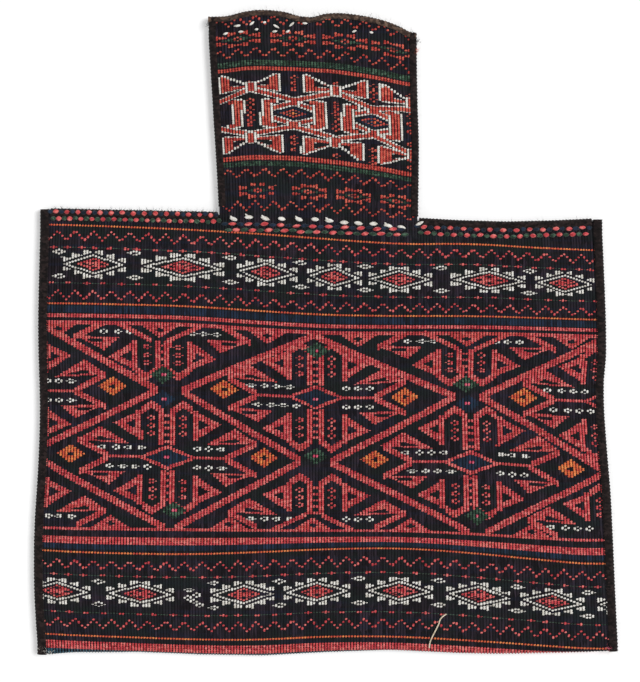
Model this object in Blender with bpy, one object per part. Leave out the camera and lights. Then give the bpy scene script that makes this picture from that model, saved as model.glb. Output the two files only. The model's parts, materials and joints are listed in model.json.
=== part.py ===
"""Salt bag of flat-woven wool, lying empty on its back with the patterned face up.

One strip of cloth is cut by the loom to a bottle shape, folded at the bottom and closed with
overcast goat hair along its sides, shoulders and neck. The mouth's two rims are bound apart.
"""

import math

import bmesh
import bpy
from mathutils import Vector
from mathutils.bvhtree import BVHTree
from mathutils.geometry import delaunay_2d_cdt

MM = 0.001

# Driving dimensions of the cloth
BODY_WIDTH = 442 * MM
BODY_HEIGHT = 344 * MM
NECK_WIDTH = 153 * MM
NECK_HEIGHT = 154 * MM
NECK_OFFSET = -7.5 * MM
CLOTH_THICKNESS = 2.4 * MM
BROCADE_HEIGHT = 0.5 * MM
BROCADE_TAPER = 0.15 * MM

# Heights of the lying bag
SEAM_BOTTOM = 1.9 * MM
BELLY_TOP = 13.5 * MM
FOLD_TOP = 8.4 * MM
MOUTH_TOP = 15 * MM
MOUTH_BOTTOM = 1.4 * MM
SWELL_REACH = 18 * MM
MOUTH_REACH = 40 * MM
FOLD_REACH = 32 * MM
WAVE_HEIGHT = 0.5 * MM
WAVE_LENGTH = 118 * MM
WAVE_SLANT = 0.35

# Bindings and trim
CLEARANCE = 0.3 * MM
EDGE_GAP = 0.5 * MM
BINDING_WALL = 1.3 * MM
BINDING_OUT = 3.2 * MM
BINDING_ROUND = 0.6
SIDE_LAP = 5 * MM
SHOULDER_LAP = 4 * MM
NECK_LAP = 5 * MM
MOUTH_LAP = 4.5 * MM
MOUTH_WALL = 0.9 * MM
MOUTH_OUT = 2.6 * MM
WRAP_PITCH = 28 * MM
WRAP_BULGE = 0.3
TURN_EASE = 0.08 * MM
TWINING_WIDTH = 6.4 * MM
TWINING_HEIGHT = 1.3 * MM
TWINING_PITCH = 12.6 * MM
TWINING_WAIST = 0.7
STITCH_PITCH = 12.4 * MM
STITCH_WIDTH = 3.6 * MM
STITCH_HEIGHT = 1.4 * MM
STITCH_WAIST = 0.35
THREAD_RADIUS = 0.55 * MM

SEAM_TOP = SEAM_BOTTOM + 2 * CLOTH_THICKNESS + CLEARANCE
SEAM_FLAT = max(SIDE_LAP, SHOULDER_LAP, NECK_LAP) + 5 * CLEARANCE
MOUTH_FLAT = MOUTH_LAP + 5 * CLEARANCE
RIM_ROOM = 2 * (MOUTH_WALL + CLEARANCE) + CLEARANCE
RIM_RISE = RIM_ROOM / (MOUTH_TOP - SEAM_TOP)
SWELL_KNOTS = ((0, 0), (0.4, (1 + 5 * RIM_RISE) / 6), (1, 1))
BELLY_GRID = 60 * MM
MERGE_DISTANCE = 0.1 * MM
FOLD_ROWS = 2
FOLD_BAND = 6 * MM

# Size that the weaver's chart is drawn for; the pattern stretches with the cloth
CHART_WIDTH = 442 * MM
CHART_HEIGHT = 344 * MM
CHART_NECK_WIDTH = 153 * MM
CHART_NECK_HEIGHT = 154 * MM

# Hand-made edges: share of the run, and how far it strays outwards there in millimetres
LEFT_SIDE = ((0, 2.8), (0.13, 5.8), (0.28, 5.8), (0.42, 2.8), (0.56, 1.3), (0.74, 2.8), (1, 0.8))
RIGHT_SIDE = ((0, 5.8), (0.12, 3.8), (0.37, -0.2), (0.47, -3.2), (0.6, -5.8), (0.7, -3.4), (1, -7.2))
LEFT_SHOULDER = ((0, 3.8), (1, 0.8))
RIGHT_SHOULDER = ((0, -3.6), (0.45, -6.7), (1, -4.2))
LEFT_NECK = ((0, -2.2), (0.35, -0.7), (0.64, 1.8), (1, 5.2))
RIGHT_NECK = ((0, 0.8), (0.35, 0.1), (0.6, -1.5), (1, -2.2))
MOUTH = ((0, 0), (0.21, 5.4), (0.47, 1.4), (0.59, 3), (0.74, 0.6), (0.89, -4.9), (1, -12))
MOUTH_DIP = ((0, 0), (0.34, 0), (0.44, -2.6), (0.56, 0), (1, 0))
FOLD = ((0, -1.6), (0.1, 1), (0.37, -2.4), (0.59, 2), (0.77, -0.8), (1, 1))

# Drift of the woven rows in millimetres, at places across the chart, for rows up from the fold
DRIFT_PLACES = (-221, -162, -107, -52, 0, 59, 114, 165, 214)
DRIFT_ROWS = (
    (1.6, (3.9, 1.5, -0.8, -1.6, 1.5, 1.2, -2, -5.2, -8.7)),
    (79, (1.9, -0.2, -1, 0.8, 3.4, 4.3, 0.4, -4.8, -9.5)),
    (95.6, (2.7, 2.2, 1.6, 1.1, 0.8, 0.8, -1.6, -4.8, -7.5)),
    (151.7, (4.7, 3.1, 1.9, 0.4, -0.8, -1.2, -1.2, -4.8, -9.9)),
    (203, (3.2, 3.2, 2.8, 0, -2.4, -2, -0.8, -3.1, -5.5)),
    (254.4, (6, 5.1, 3.9, 0, -3, -3, -3, -4, -5.6)),
    (327.8, (9.5, 7.5, 5.2, 1.6, -2.5, -6.7, -5.8, -9.4, -11.3)),
)
NECK_DRIFT_PLACES = (-87, -59, -25, 8, 38, 68)
NECK_DRIFT_ROWS = (
    (340.5, (1.2, 1.3, 1.6, -0.9, -2.8, -5.9)),
    (385.5, (1.6, 3.6, 2.9, -0.4, -4.7, -9.9)),
    (456.6, (1, 3.6, 2.5, 0.6, -4, -9.1)),
    (500.9, (0, 2.4, 2, 0.8, -2.4, -9.5)),
)

# Bands of the chart, in millimetres
STRIPE_STEPS = 6
ZIGZAG_STEP = 7.1
ZIGZAG_WIDTH = 1.9

# Colours of the dyed yarns: red, green and blue from 0 to 1, as they render
YARNS = {
    "ground": (0.016, 0.013, 0.018),
    "madder_red": (0.42, 0.066, 0.066),
    "neck_red": (0.37, 0.057, 0.050),
    "white": (0.60, 0.58, 0.55),
    "orange": (0.52, 0.12, 0.055),
    "indigo": (0.014, 0.020, 0.040),
    "green": (0.022, 0.055, 0.030),
    "teal": (0.012, 0.045, 0.060),
    "goat_hair": (0.020, 0.014, 0.012),
}
YARN_ORDER = list(YARNS)


def smooth_read(table, place):
    """Reads a smooth curve through pairs of place and value."""
    if place <= table[0][0]:
        return table[0][1]
    if place >= table[-1][0]:
        return table[-1][1]
    index = next(i for i in range(len(table) - 1) if place <= table[i + 1][0])
    (x0, y0), (x1, y1) = table[index], table[index + 1]
    before = table[max(index - 1, 0)]
    after = table[min(index + 2, len(table) - 1)]
    slope0 = (y1 - before[1]) / (x1 - before[0])
    slope1 = (after[1] - y0) / (after[0] - x0)
    span = x1 - x0
    t = (place - x0) / span
    start = (2 * t**3 - 3 * t**2 + 1) * y0 + (t**3 - 2 * t**2 + t) * span * slope0
    return start + (3 * t**2 - 2 * t**3) * y1 + (t**3 - t**2) * span * slope1


def smooth_step(t):
    t = min(max(t, 0.0), 1.0)
    return t * t * (3 - 2 * t)


def side_x(height, sign):
    """Cloth edge at a body height: sign -1 for the left side, 1 for the right."""
    table = LEFT_SIDE if sign < 0 else RIGHT_SIDE
    return sign * (BODY_WIDTH / 2 + smooth_read(table, height / BODY_HEIGHT) * MM)


def neck_x(height, sign):
    table = LEFT_NECK if sign < 0 else RIGHT_NECK
    share = (height - BODY_HEIGHT) / NECK_HEIGHT
    return NECK_OFFSET + sign * (NECK_WIDTH / 2 + smooth_read(table, share) * MM)


def shoulder_y(x, sign):
    """Height of the cloth's shoulder edge; share 0 is at the left end of each shoulder."""
    inner = NECK_OFFSET + sign * NECK_WIDTH / 2
    outer = sign * BODY_WIDTH / 2
    share = (x - min(inner, outer)) / abs(outer - inner)
    table = LEFT_SHOULDER if sign < 0 else RIGHT_SHOULDER
    return BODY_HEIGHT + smooth_read(table, share) * MM


def mouth_y(x, front):
    share = (x - NECK_OFFSET) / NECK_WIDTH + 0.5
    dip = smooth_read(MOUTH_DIP, share) if front else 0
    return BODY_HEIGHT + NECK_HEIGHT + (smooth_read(MOUTH, share) + dip) * MM


def fold_y(x):
    return smooth_read(FOLD, x / BODY_WIDTH + 0.5) * MM


def neck_corner(sign):
    """Inner corner where the neck's edge meets the shoulder."""
    x = neck_x(BODY_HEIGHT, sign)
    return x, shoulder_y(x, sign)


def run(start, end, steps):
    return [start + (end - start) * i / steps for i in range(steps + 1)]


def side_run(sign, steps=16):
    """Side edge from the fold up to the shoulder, as (x, y) pairs."""
    top = shoulder_y(sign * BODY_WIDTH / 2, sign)
    bottom = fold_y(sign * BODY_WIDTH / 2)
    return [(side_x(y, sign), y) for y in run(bottom, top, steps)]


def shoulder_run(sign, steps=4):
    """Shoulder edge from the side to the neck."""
    start = side_run(sign)[-1][0]
    end = neck_corner(sign)[0]
    return [(x, shoulder_y(x, sign)) for x in run(start, end, steps)]


def neck_run(sign, front, steps=5):
    """Neck edge from the shoulder up to the mouth."""
    low = neck_corner(sign)[1]
    end = NECK_OFFSET + sign * NECK_WIDTH / 2
    high = mouth_y(end, front)
    return [(neck_x(y, sign), y) for y in run(low, high, steps)]


def across_run(left, right, steps):
    """Places from seam to seam, with one at every knot of the swell beside each."""
    insets = [SEAM_FLAT + share * SWELL_REACH for share, _ in SWELL_KNOTS]
    middle = run(left + insets[-1], right - insets[-1], steps)
    near_right = [right - inset for inset in reversed(insets[:-1])]
    return [left] + [left + inset for inset in insets[:-1]] + middle + near_right + [right]


def mouth_run(front, steps=10):
    left, right = (neck_run(sign, front)[-1][0] for sign in (-1, 1))
    return [(x, mouth_y(x, front)) for x in across_run(left, right, steps)]


def rim_run(front):
    """The bound stretch of a mouth rim, which starts where the two rims have parted enough."""
    return mouth_run(front)[2:-2]


def neck_seam(sign):
    """Neck edge carried on straight past the mouth, so that the swell beside it runs out level."""
    line = neck_run(sign, False)
    x, y = line[-1]
    return line + [(x, y + MOUTH_REACH)]


SEAMS = [
    (Vector(a), Vector(b))
    for sign in (-1, 1)
    for line in (side_run(sign), shoulder_run(sign), neck_seam(sign))
    for a, b in zip(line, line[1:])
]


def seam_distance(x, y):
    """Distance from a point of the cloth to the nearest closed seam."""
    point = Vector((x, y))
    nearest = BODY_WIDTH
    for a, b in SEAMS:
        along = b - a
        t = min(max((point - a).dot(along) / along.length_squared, 0), 1)
        nearest = min(nearest, (point - a - along * t).length)
    return nearest


def swell(x, y):
    """Share of its full rise that the cloth has reached, in straight steps between the knots."""
    share = (seam_distance(x, y) - SEAM_FLAT) / SWELL_REACH
    for (a, low), (b, high) in zip(SWELL_KNOTS, SWELL_KNOTS[1:]):
        if share <= b:
            return low + (high - low) * max(share - a, 0) / (b - a)
    return 1.0


def mouth_nearness(x, y, front):
    return 1 - smooth_step((mouth_y(x, front) - y - MOUTH_FLAT) / MOUTH_REACH)


def wave(x, y):
    """Gentle unevenness of hand-woven cloth that has been folded and used."""
    turn = 2 * math.pi / WAVE_LENGTH
    return WAVE_HEIGHT * math.sin(turn * (x + WAVE_SLANT * y)) * math.cos(turn * (y - WAVE_SLANT * x))


def cloth_top(x, y):
    """Height of the front's outer face."""
    lift = swell(x, y)
    near = mouth_nearness(x, y, True)
    belly = BELLY_TOP + (MOUTH_TOP - BELLY_TOP) * near + wave(x, y) * (1 - near)
    above_fold = y - fold_y(x) - FOLD_TOP / 2
    full = FOLD_TOP + (belly - FOLD_TOP) * smooth_step(above_fold / FOLD_REACH)
    return SEAM_TOP + (full - SEAM_TOP) * lift


def cloth_bottom(x, y):
    """Height of the back's outer face, flat on the ground away from the seams."""
    lift = swell(x, y)
    return SEAM_BOTTOM * (1 - lift) + MOUTH_BOTTOM * mouth_nearness(x, y, False) * lift


def fold_radius(x):
    y = fold_y(x)
    return (cloth_top(x, y) - cloth_bottom(x, y)) / 2


def sheet_place(x, y):
    """Place along the unfolded strip of a point of the front at height y."""
    return y - fold_y(x) - fold_radius(x) + FOLD_BAND


def cloth_point(x, place, depth):
    """Point of the strip at a place along it, below 0 on the back, and a depth in from its face."""
    radius = fold_radius(x)
    inside = abs(place) - FOLD_BAND
    y = fold_y(x) + radius + max(inside, 0)
    if inside >= 0 and place > 0:
        return Vector((x, y, cloth_top(x, y) - depth))
    if inside >= 0:
        return Vector((x, y, cloth_bottom(x, y) + depth))
    angle = place / FOLD_BAND * math.pi / 2
    middle = cloth_bottom(x, y) + radius
    bend = radius - depth
    return Vector((x, y - bend * math.cos(angle), middle + bend * math.sin(angle)))


def resting_height(cloth, x, y, reach):
    """Highest point of the cloth's face within a small reach of a place."""
    offsets = (-reach, 0, reach)
    spots = [Vector((x + a, y + b, 2 * MOUTH_TOP)) for a in offsets for b in offsets]
    hits = [cloth.ray_cast(spot, Vector((0, 0, -1)))[0] for spot in spots]
    return max(hit.z for hit in hits if hit)


def drift(places, rows, across, row):
    """Shift of a chart row at a place across the cloth, in millimetres."""
    values = [(height, smooth_read(list(zip(places, shifts)), across)) for height, shifts in rows]
    if row <= values[0][0]:
        return values[0][1]
    for (low, a), (high, b) in zip(values, values[1:]):
        if row <= high:
            return a + (b - a) * (row - low) / (high - low)
    return values[-1][1]


def body_point(across, row):
    """Chart point of the body, in millimetres, to the cloth's x and y."""
    shift = drift(DRIFT_PLACES, DRIFT_ROWS, across, row)
    return across * MM * BODY_WIDTH / CHART_WIDTH, (row + shift) * MM * BODY_HEIGHT / CHART_HEIGHT


def neck_point(across, row):
    shift = drift(NECK_DRIFT_PLACES, NECK_DRIFT_ROWS, across, row)
    above = (row + shift) * MM - CHART_HEIGHT
    x = NECK_OFFSET + (across * MM - NECK_OFFSET) * NECK_WIDTH / CHART_NECK_WIDTH
    return x, BODY_HEIGHT + above * NECK_HEIGHT / CHART_NECK_HEIGHT


def lozenge(across, row, half_width, half_height):
    return [(across - half_width, row), (across, row - half_height),
            (across + half_width, row), (across, row + half_height)]


def bar(left, low, right, high):
    return [(left, low), (right, low), (right, high), (left, high)]


def band(points, width):
    """Strip of even height drawn along a line of chart points."""
    half = width / 2
    return [(x, y - half) for x, y in points] + [(x, y + half) for x, y in reversed(points)]


def mirrored(points, across, row, flip_x=1, flip_y=1):
    """A shape drawn round the origin, set at a place with its mirror signs."""
    return [(across + flip_x * x, row + flip_y * y) for x, y in points]


def stripe(row, width, yarn, raised, left=-232, right=236):
    points = [(x, row) for x in run(left, right, STRIPE_STEPS)]
    return [(band(points, width), yarn, raised)]


def zigzag(low, high, left, right, yarn):
    steps = int((right - left) / ZIGZAG_STEP)
    points = [(left + i * ZIGZAG_STEP, high if i % 2 else low) for i in range(steps + 1)]
    return [(band(points, ZIGZAG_WIDTH), yarn, False)]


# Main field: lattice columns and rows of the chart
COLUMNS = (-236.6, -122, -7.5, 114, 224.7)
FIELD_TOP = 254.4
FIELD_BOTTOM = 95.6
FIRST_ROW = 203
SECOND_ROW = 151.7
LATTICE = (
    ((-222, 252), (-132, 204), (-234, 153), (-126, 97)),
    ((-9, 252), (-113, 203.5), (-18.6, 151.5), (-119, 96.5)),
    ((-9, 252), (101.5, 203), (2.8, 151), (112.6, 97)),
    ((213, 250), (121.3, 203), (221, 151.5), (125.2, 97)),
)
LATTICE_WIDTH = 4.2
BORDER_TRIANGLES = ((-210, 1), (-130, 1), (-46, 1), (25.7, 1), (111, 1), (193, 1),
                    (-168.7, -1), (-76, -1), (-9.9, -1), (66.8, -1), (161.6, -1))
ORANGE_LOZENGES = ((-167, 206.5), (-200, 153), (-79.4, 206), (62.4, 203.5), (-48.2, 153.5),
                   (38.7, 153.5), (155.2, 204), (192.4, 152.5))
GREEN_FLOWERS = ((-127.6, 215.5), (-119, 110.5), (-6.7, 240), (-7.5, 155.5), (110.2, 213), (119, 110))

HOOKS = (((-62.4, 15.8), (-46.6, 22.1), (-34, 12.6)), ((-66, -7.5), (-48.2, -17.4), (-30, -9.5)))
LADDER = (2.6, 10, 6.2, 33)
ARCH = ((-6.2, 28), (-12.6, 36), (-20.2, 31), (-20.2, 13), (-24.2, 13), (-24.2, 20),
        (-39, 27), (-24.2, 34), (-12.6, 41), (-2.6, 33))


def tile(across, row, sides):
    """Hooked lozenge of the main field, mirrored about both its axes; sides are the halves that show."""
    shapes = []
    for flip_y in sides:
        for flip_x in (-1, 1):
            shapes.append((mirrored(ARCH, across, row, flip_x, flip_y), "madder_red", True))
            shapes.append((mirrored(bar(*LADDER), across, row, flip_x, flip_y), "madder_red", True))
            hook = HOOKS[0] if flip_y > 0 else [(x, -y) for x, y in HOOKS[1]]
            shapes.append((mirrored(hook, across, row, flip_x, flip_y), "madder_red", True))
            white = bar(16, 8.1, 44, 10.9) if flip_y > 0 else bar(16, 4.4, 44, 7)
            shapes.append((mirrored(white, across, row, flip_x, flip_y), "white", False))
    if len(sides) == 2:
        shapes.append((bar(across - 42, row - 1.2, across + 42, row + 1.2), "madder_red", False))
        shapes.append((lozenge(across, row, 22, 8.7), "madder_red", True))
        shapes.append((lozenge(across, row, 16, 5.4), "indigo", False))
    return shapes


def main_field():
    runs = [piece for line in LATTICE for piece in zip(line, line[1:])]
    shapes = [(band(piece, LATTICE_WIDTH), "madder_red", True) for piece in runs]
    for across, way in BORDER_TRIANGLES:
        base = FIELD_TOP - 2 if way > 0 else FIELD_BOTTOM + 2
        outline = [(across - 15, base), (across + 15, base), (across, base - way * 13)]
        shapes.append((outline, "madder_red", True))
    shapes += tile(COLUMNS[2], FIRST_ROW, (1, -1))
    shapes += tile(COLUMNS[1], SECOND_ROW, (1, -1)) + tile(COLUMNS[3], SECOND_ROW, (1, -1))
    shapes += tile(COLUMNS[1], FIELD_TOP, (-1,)) + tile(COLUMNS[3], FIELD_TOP, (-1,))
    shapes += tile(COLUMNS[2], FIELD_BOTTOM, (1,))
    for across, row in ORANGE_LOZENGES:
        shapes.append((lozenge(across, row, 10.5, 7), "orange", False))
        shapes.append((lozenge(across, row, 4, 2.6), "ground", False))
    for across, row in GREEN_FLOWERS:
        shapes.append((lozenge(across, row, 8, 6.5), "green", True))
    return shapes


def star_diamond(across, row, half_width, teeth=3):
    """White lozenge with flag-like teeth round a red core."""
    pitch = half_width / teeth
    quarter = []
    for i in range(teeth):
        base = 8.6 * (1 - i / teeth) + 0.6
        quarter += [(i * pitch + 0.4, base), ((i + 0.86) * pitch, base + 2.2)]
    upper = [(-x, y) for x, y in reversed(quarter)] + quarter
    outline = [(-half_width, 0)] + upper + [(half_width, 0)] + [(-x, -y) for x, y in upper]
    return [
        (mirrored(outline, across, row), "white", False),
        (lozenge(across, row, half_width * DARK_SHARE, 6.6), "ground", False),
        (lozenge(across, row, half_width * CORE_SHARE, 5.4), "madder_red", True),
    ]


DARK_SHARE = 0.72
CORE_SHARE = 0.6
UPPER_DIAMONDS = ((-182.1, 25.7), (-111.8, 33.2), (-46.6, 24.1), (6.7, 21.7), (58.1, 25.7),
                  (128.4, 30.4), (187.6, 23.7))
LOWER_DIAMONDS = ((-210.8, 27.3), (-145.4, 27.3), (-64.4, 25.7), (-6.9, 26.9), (58.1, 27.3),
                  (120.2, 26.5), (178.1, 24.9))
UPPER_DIAMOND_ROW = 298.5
LOWER_DIAMOND_ROW = 46.6


def body_bands():
    """Stripes, zigzags and rows of star diamonds above and below the main field."""
    shapes = []
    for row, width, yarn in ((327.8, 1.8, "orange"), (310.9, 2.6, "green"), (284.2, 2.6, "green"),
                             (268.8, 1.8, "orange"), (79, 1.8, "orange"), (60.6, 2.6, "green"),
                             (30.2, 2.6, "green"), (11.4, 1.8, "orange")):
        shapes += stripe(row, width, yarn, False)
    for row, width in ((259.8, 3.2), (FIELD_TOP, 2.6), (FIELD_BOTTOM, 2.6), (87.7, 4.8)):
        shapes += stripe(row, width, "madder_red", True)
    shapes += stripe(4, 5.5, "madder_red", False)
    for low, high in ((316.5, 323.6), (271.8, 278.6), (65.5, 72.6), (17.8, 25.2)):
        shapes += zigzag(low, high, -230, 236, "madder_red")
    for across, half_width in UPPER_DIAMONDS:
        shapes += star_diamond(across, UPPER_DIAMOND_ROW, half_width)
    for across, half_width in LOWER_DIAMONDS:
        shapes += star_diamond(across, LOWER_DIAMOND_ROW, half_width)
    return shapes


# Neck panel: nodes where its red zigzags turn, and the white-edged bars between them
UPPER_TURNS = ((-95, 434), (-83.3, 433.3), (-58.9, 439.8), (-24.9, 433.3), (8.3, 439.8),
               (37.5, 433.3), (67.5, 439.8), (78, 438))
LOWER_TURNS = ((-95, 409), (-83.3, 409.4), (-58.9, 403.3), (-24.9, 409.4), (8.3, 403.3),
               (37.5, 409.4), (67.5, 403.3), (78, 405))
NECK_BARS = (-69.5, -46.6, -4, 19, 54.1)
NECK_NODES = (-58.9, 8.3, 67.5)
NECK_LENSES = (-24.9, 37.5)
PANEL_ROW = 420.4
UPPER_STARS = (-69.1, -25.7, 15.4, 52.5)
LOWER_STARS = (-53.3, -13.4, 22.4, 55.7)


def neck_bands():
    shapes = []
    for low, high in ((491.1, 498.2), (465.3, 472.6), (371.5, 377.8), (346.3, 353.3)):
        shapes += zigzag(low, high, -96, 82, "neck_red")
    for row, yarn, raised in ((460.4, "green", False), (456.4, "neck_red", True),
                              (385.5, "neck_red", True), (381.6, "green", False)):
        shapes += stripe(row, 3.2, yarn, raised, -97, 84)
    for places, row in ((UPPER_STARS, 482), (LOWER_STARS, 361.5)):
        for across in places:
            outline = [(-15, 5), (-5, 1.6), (0, 5.5), (5, 1.6), (15, 5)]
            outline += [(-x, -y) for x, y in outline]
            shapes.append((mirrored(outline, across, row), "neck_red", False))
    return shapes


def neck_panel():
    """White-edged red zigzags, bars with hooks and small lenses."""
    shapes = []
    for turns in (UPPER_TURNS, LOWER_TURNS):
        shapes.append((band(turns, 5.6), "white", True))
        shapes.append((band(turns, 3), "neck_red", True))
    for across in NECK_BARS:
        shapes.append((bar(across - 3.8, 411.5, across + 3.8, 431.5), "white", True))
        shapes.append((bar(across - 2.4, 412.6, across + 2.4, 430.4), "neck_red", True))
    for across in NECK_NODES:
        for low, high in ((444, 450), (392, 399)):
            shapes.append((bar(across - 3.4, low, across + 3.4, high), "white", True))
            for way in (-1, 1):
                flag = [(5.5, (low + high) / 2), (18, low - 1.5), (18, high + 1.5)]
                shapes.append((mirrored(flag, across, 0, way), "neck_red", False))
    for across in NECK_LENSES:
        shapes.append((lozenge(across, PANEL_ROW, 13.5, 5.2), "white", True))
        shapes.append((lozenge(across, PANEL_ROW, 10.5, 3.6), "indigo", False))
    return shapes


BACK_STRIPES = ((30, 62, "teal"), (84, 108, "madder_red"), (150, 196, "indigo"),
                (222, 246, "madder_red"), (268, 320, "teal"))


def outline():
    """Corner-to-corner outline of the unfolded strip, counter-clockwise, as (x, place)."""
    points = []
    for front in (False, True):
        half = []
        for sign in (1, -1):
            edge = side_run(sign)[1:] + shoulder_run(sign)[1:] + neck_run(sign, front)[1:]
            edge = [(x, sheet_place(x, y)) for x, y in edge]
            foot = side_run(sign)[0][0]
            fold = [(foot, FOLD_BAND * i / FOLD_ROWS) for i in range(FOLD_ROWS + 1)]
            half.append(fold + edge)
        mouth = [(x, sheet_place(x, y)) for x, y in mouth_run(front)[1:-1]]
        right, left = half
        ring = right + mouth[::-1] + left[::-1]
        points.append(ring)
    back, front = points
    mirrored_back = [(x, -place) for x, place in reversed(back)]
    lower = mirrored_back[1:-1]
    return front + lower


def inset_run(line, sign, inset):
    """Points beside a seam's stretches, set in from the middle of each."""
    found = []
    for a, b in zip(line, line[1:]):
        middle = Vector(((a[0] + b[0]) / 2, (a[1] + b[1]) / 2))
        outward = Vector((a[1] - b[1], b[0] - a[0])).normalized() * -sign
        point = middle - outward * inset
        if seam_distance(*point) > inset - CLEARANCE:
            found.append(tuple(point))
    return found


def swell_line(sign, inset):
    """Line at an even distance in from the side, shoulder and neck seams, from the fold to the mouth."""
    top_x, top_y = shoulder_run(sign)[0]
    turn_x, turn_y = neck_corner(sign)
    side = inset_run(side_run(sign, 6), sign, inset)
    shoulder = inset_run(shoulder_run(sign), sign, inset)
    neck = inset_run(neck_run(sign, False), sign, inset)
    turn = []
    for angle in (90, 60, 30, 0):
        across, down = math.cos(math.radians(angle)), math.sin(math.radians(angle))
        turn.append((turn_x - sign * across * inset, turn_y - down * inset))
    foot_x = side_run(sign)[0][0] - sign * inset
    foot = (foot_x, fold_y(foot_x) + fold_radius(foot_x))
    rim_x = neck_run(sign, True)[-1][0] - sign * inset
    rim = (rim_x, mouth_y(rim_x, True) - MOUTH_FLAT)
    corner = (top_x - sign * inset, top_y - inset)
    return [foot] + side + [corner] + shoulder + turn + neck + [rim]


def belly_points(step):
    """Even grid of points that carries the belly's waves, and a row under each mouth rim."""
    found = []
    for front in (False, True):
        found += [(x, y - MOUTH_FLAT) for x, y in mouth_run(front)[1:-1]]
    rows = run(step, BODY_HEIGHT + NECK_HEIGHT - step / 2, round(BODY_HEIGHT / step) + 4)
    for column, x in enumerate(run(-BODY_WIDTH / 2, BODY_WIDTH / 2, round(BODY_WIDTH / step))):
        for y in (row + (column % 2) * step / 4 for row in rows):
            inside_neck = abs(x - NECK_OFFSET) < NECK_WIDTH / 2
            clear = seam_distance(x, y) > SEAM_FLAT + SWELL_REACH + step / 4
            if (y < BODY_HEIGHT or inside_neck) and clear:
                found.append((x, y))
    return found


def both_faces(points):
    """The same points on the front and on the back of the strip."""
    front = [(x, sheet_place(x, y)) for x, y in points]
    return front, [(x, -place) for x, place in front]


def fold_lines():
    """Level lines round the fold, from the front face to the back face."""
    places = across_run(side_run(-1)[0][0], side_run(1)[0][0], 8)
    lines = []
    for i in range(-FOLD_ROWS, FOLD_ROWS + 1):
        lines.append([(x, FOLD_BAND * i / FOLD_ROWS) for x in places])
    return lines


def counter_clockwise(chain):
    """The same closed outline, turned so that it runs counter-clockwise."""
    turned = zip(chain, chain[1:] + chain[:1])
    area = sum(a[0] * b[1] - b[0] * a[1] for a, b in turned)
    return chain if area > 0 else chain[::-1]


class PointSet:
    """Flat points, where one that lies close to another is taken as the same."""

    def __init__(self, reach):
        self.reach = reach
        self.points = []
        self.cells = {}

    def index(self, point):
        column, row = (math.floor(v / self.reach) for v in point)
        for i in (-1, 0, 1):
            for j in (-1, 0, 1):
                for known in self.cells.get((column + i, row + j), ()):
                    if (self.points[known] - Vector(point)).length < self.reach:
                        return known
        self.points.append(Vector(point))
        self.cells.setdefault((column, row), []).append(len(self.points) - 1)
        return len(self.points) - 1

    def chain(self, points):
        """Indices along a line of points, with no step that stays in place."""
        found = [self.index(point) for point in points]
        return [a for a, b in zip(found, [None] + found) if a != b]


def triangulate(ring, lines, points, shapes):
    """Triangles inside the ring that keep every line and shape edge, with each triangle's shape."""
    known = PointSet(MERGE_DISTANCE)
    outlines = [known.chain(counter_clockwise(chain)) for chain in [ring] + shapes]
    edges = [edge for line in lines for edge in zip(known.chain(line), known.chain(line)[1:])]
    for point in points:
        known.index(point)
    split = delaunay_2d_cdt(known.points, edges, outlines, 0, MERGE_DISTANCE / 100, True)
    flat, _, triangles, _, _, owners = split
    kept = [(tuple(t), max(o)) for t, o in zip(triangles, owners) if 0 in o]
    return [tuple(v) for v in flat], kept


def pattern():
    """Every coloured shape on the cloth as (strip polygon, yarn, raised)."""
    shapes = []
    panels = ((body_bands() + main_field(), body_point), (neck_bands() + neck_panel(), neck_point))
    for drawn, to_cloth in panels:
        for chain, yarn, raised in drawn:
            placed = [to_cloth(*p) for p in chain]
            shapes.append(([(x, sheet_place(x, y)) for x, y in placed], yarn, raised))
    for low, high, yarn in BACK_STRIPES:
        chain = [body_point(*p) for p in bar(-232, low, 236, high)]
        shapes.append(([(x, -sheet_place(x, y)) for x, y in chain], yarn, False))
    return shapes


def raised_corners(triangles, raised):
    """Groups the raised triangles round each vertex, so that shapes meeting at a point stay apart."""
    around = {}
    for index in raised:
        for v in triangles[index][0]:
            around.setdefault(v, []).append(index)
    groups = {}
    for v, indices in around.items():
        pending = set(indices)
        while pending:
            group = [pending.pop()]
            for member in group:
                near = {i for i in pending if len(set(triangles[i][0]) & set(triangles[member][0])) > 1}
                pending -= near
                group.extend(near)
            for index in group:
                groups[v, index] = (v, min(group))
    return groups


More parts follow.
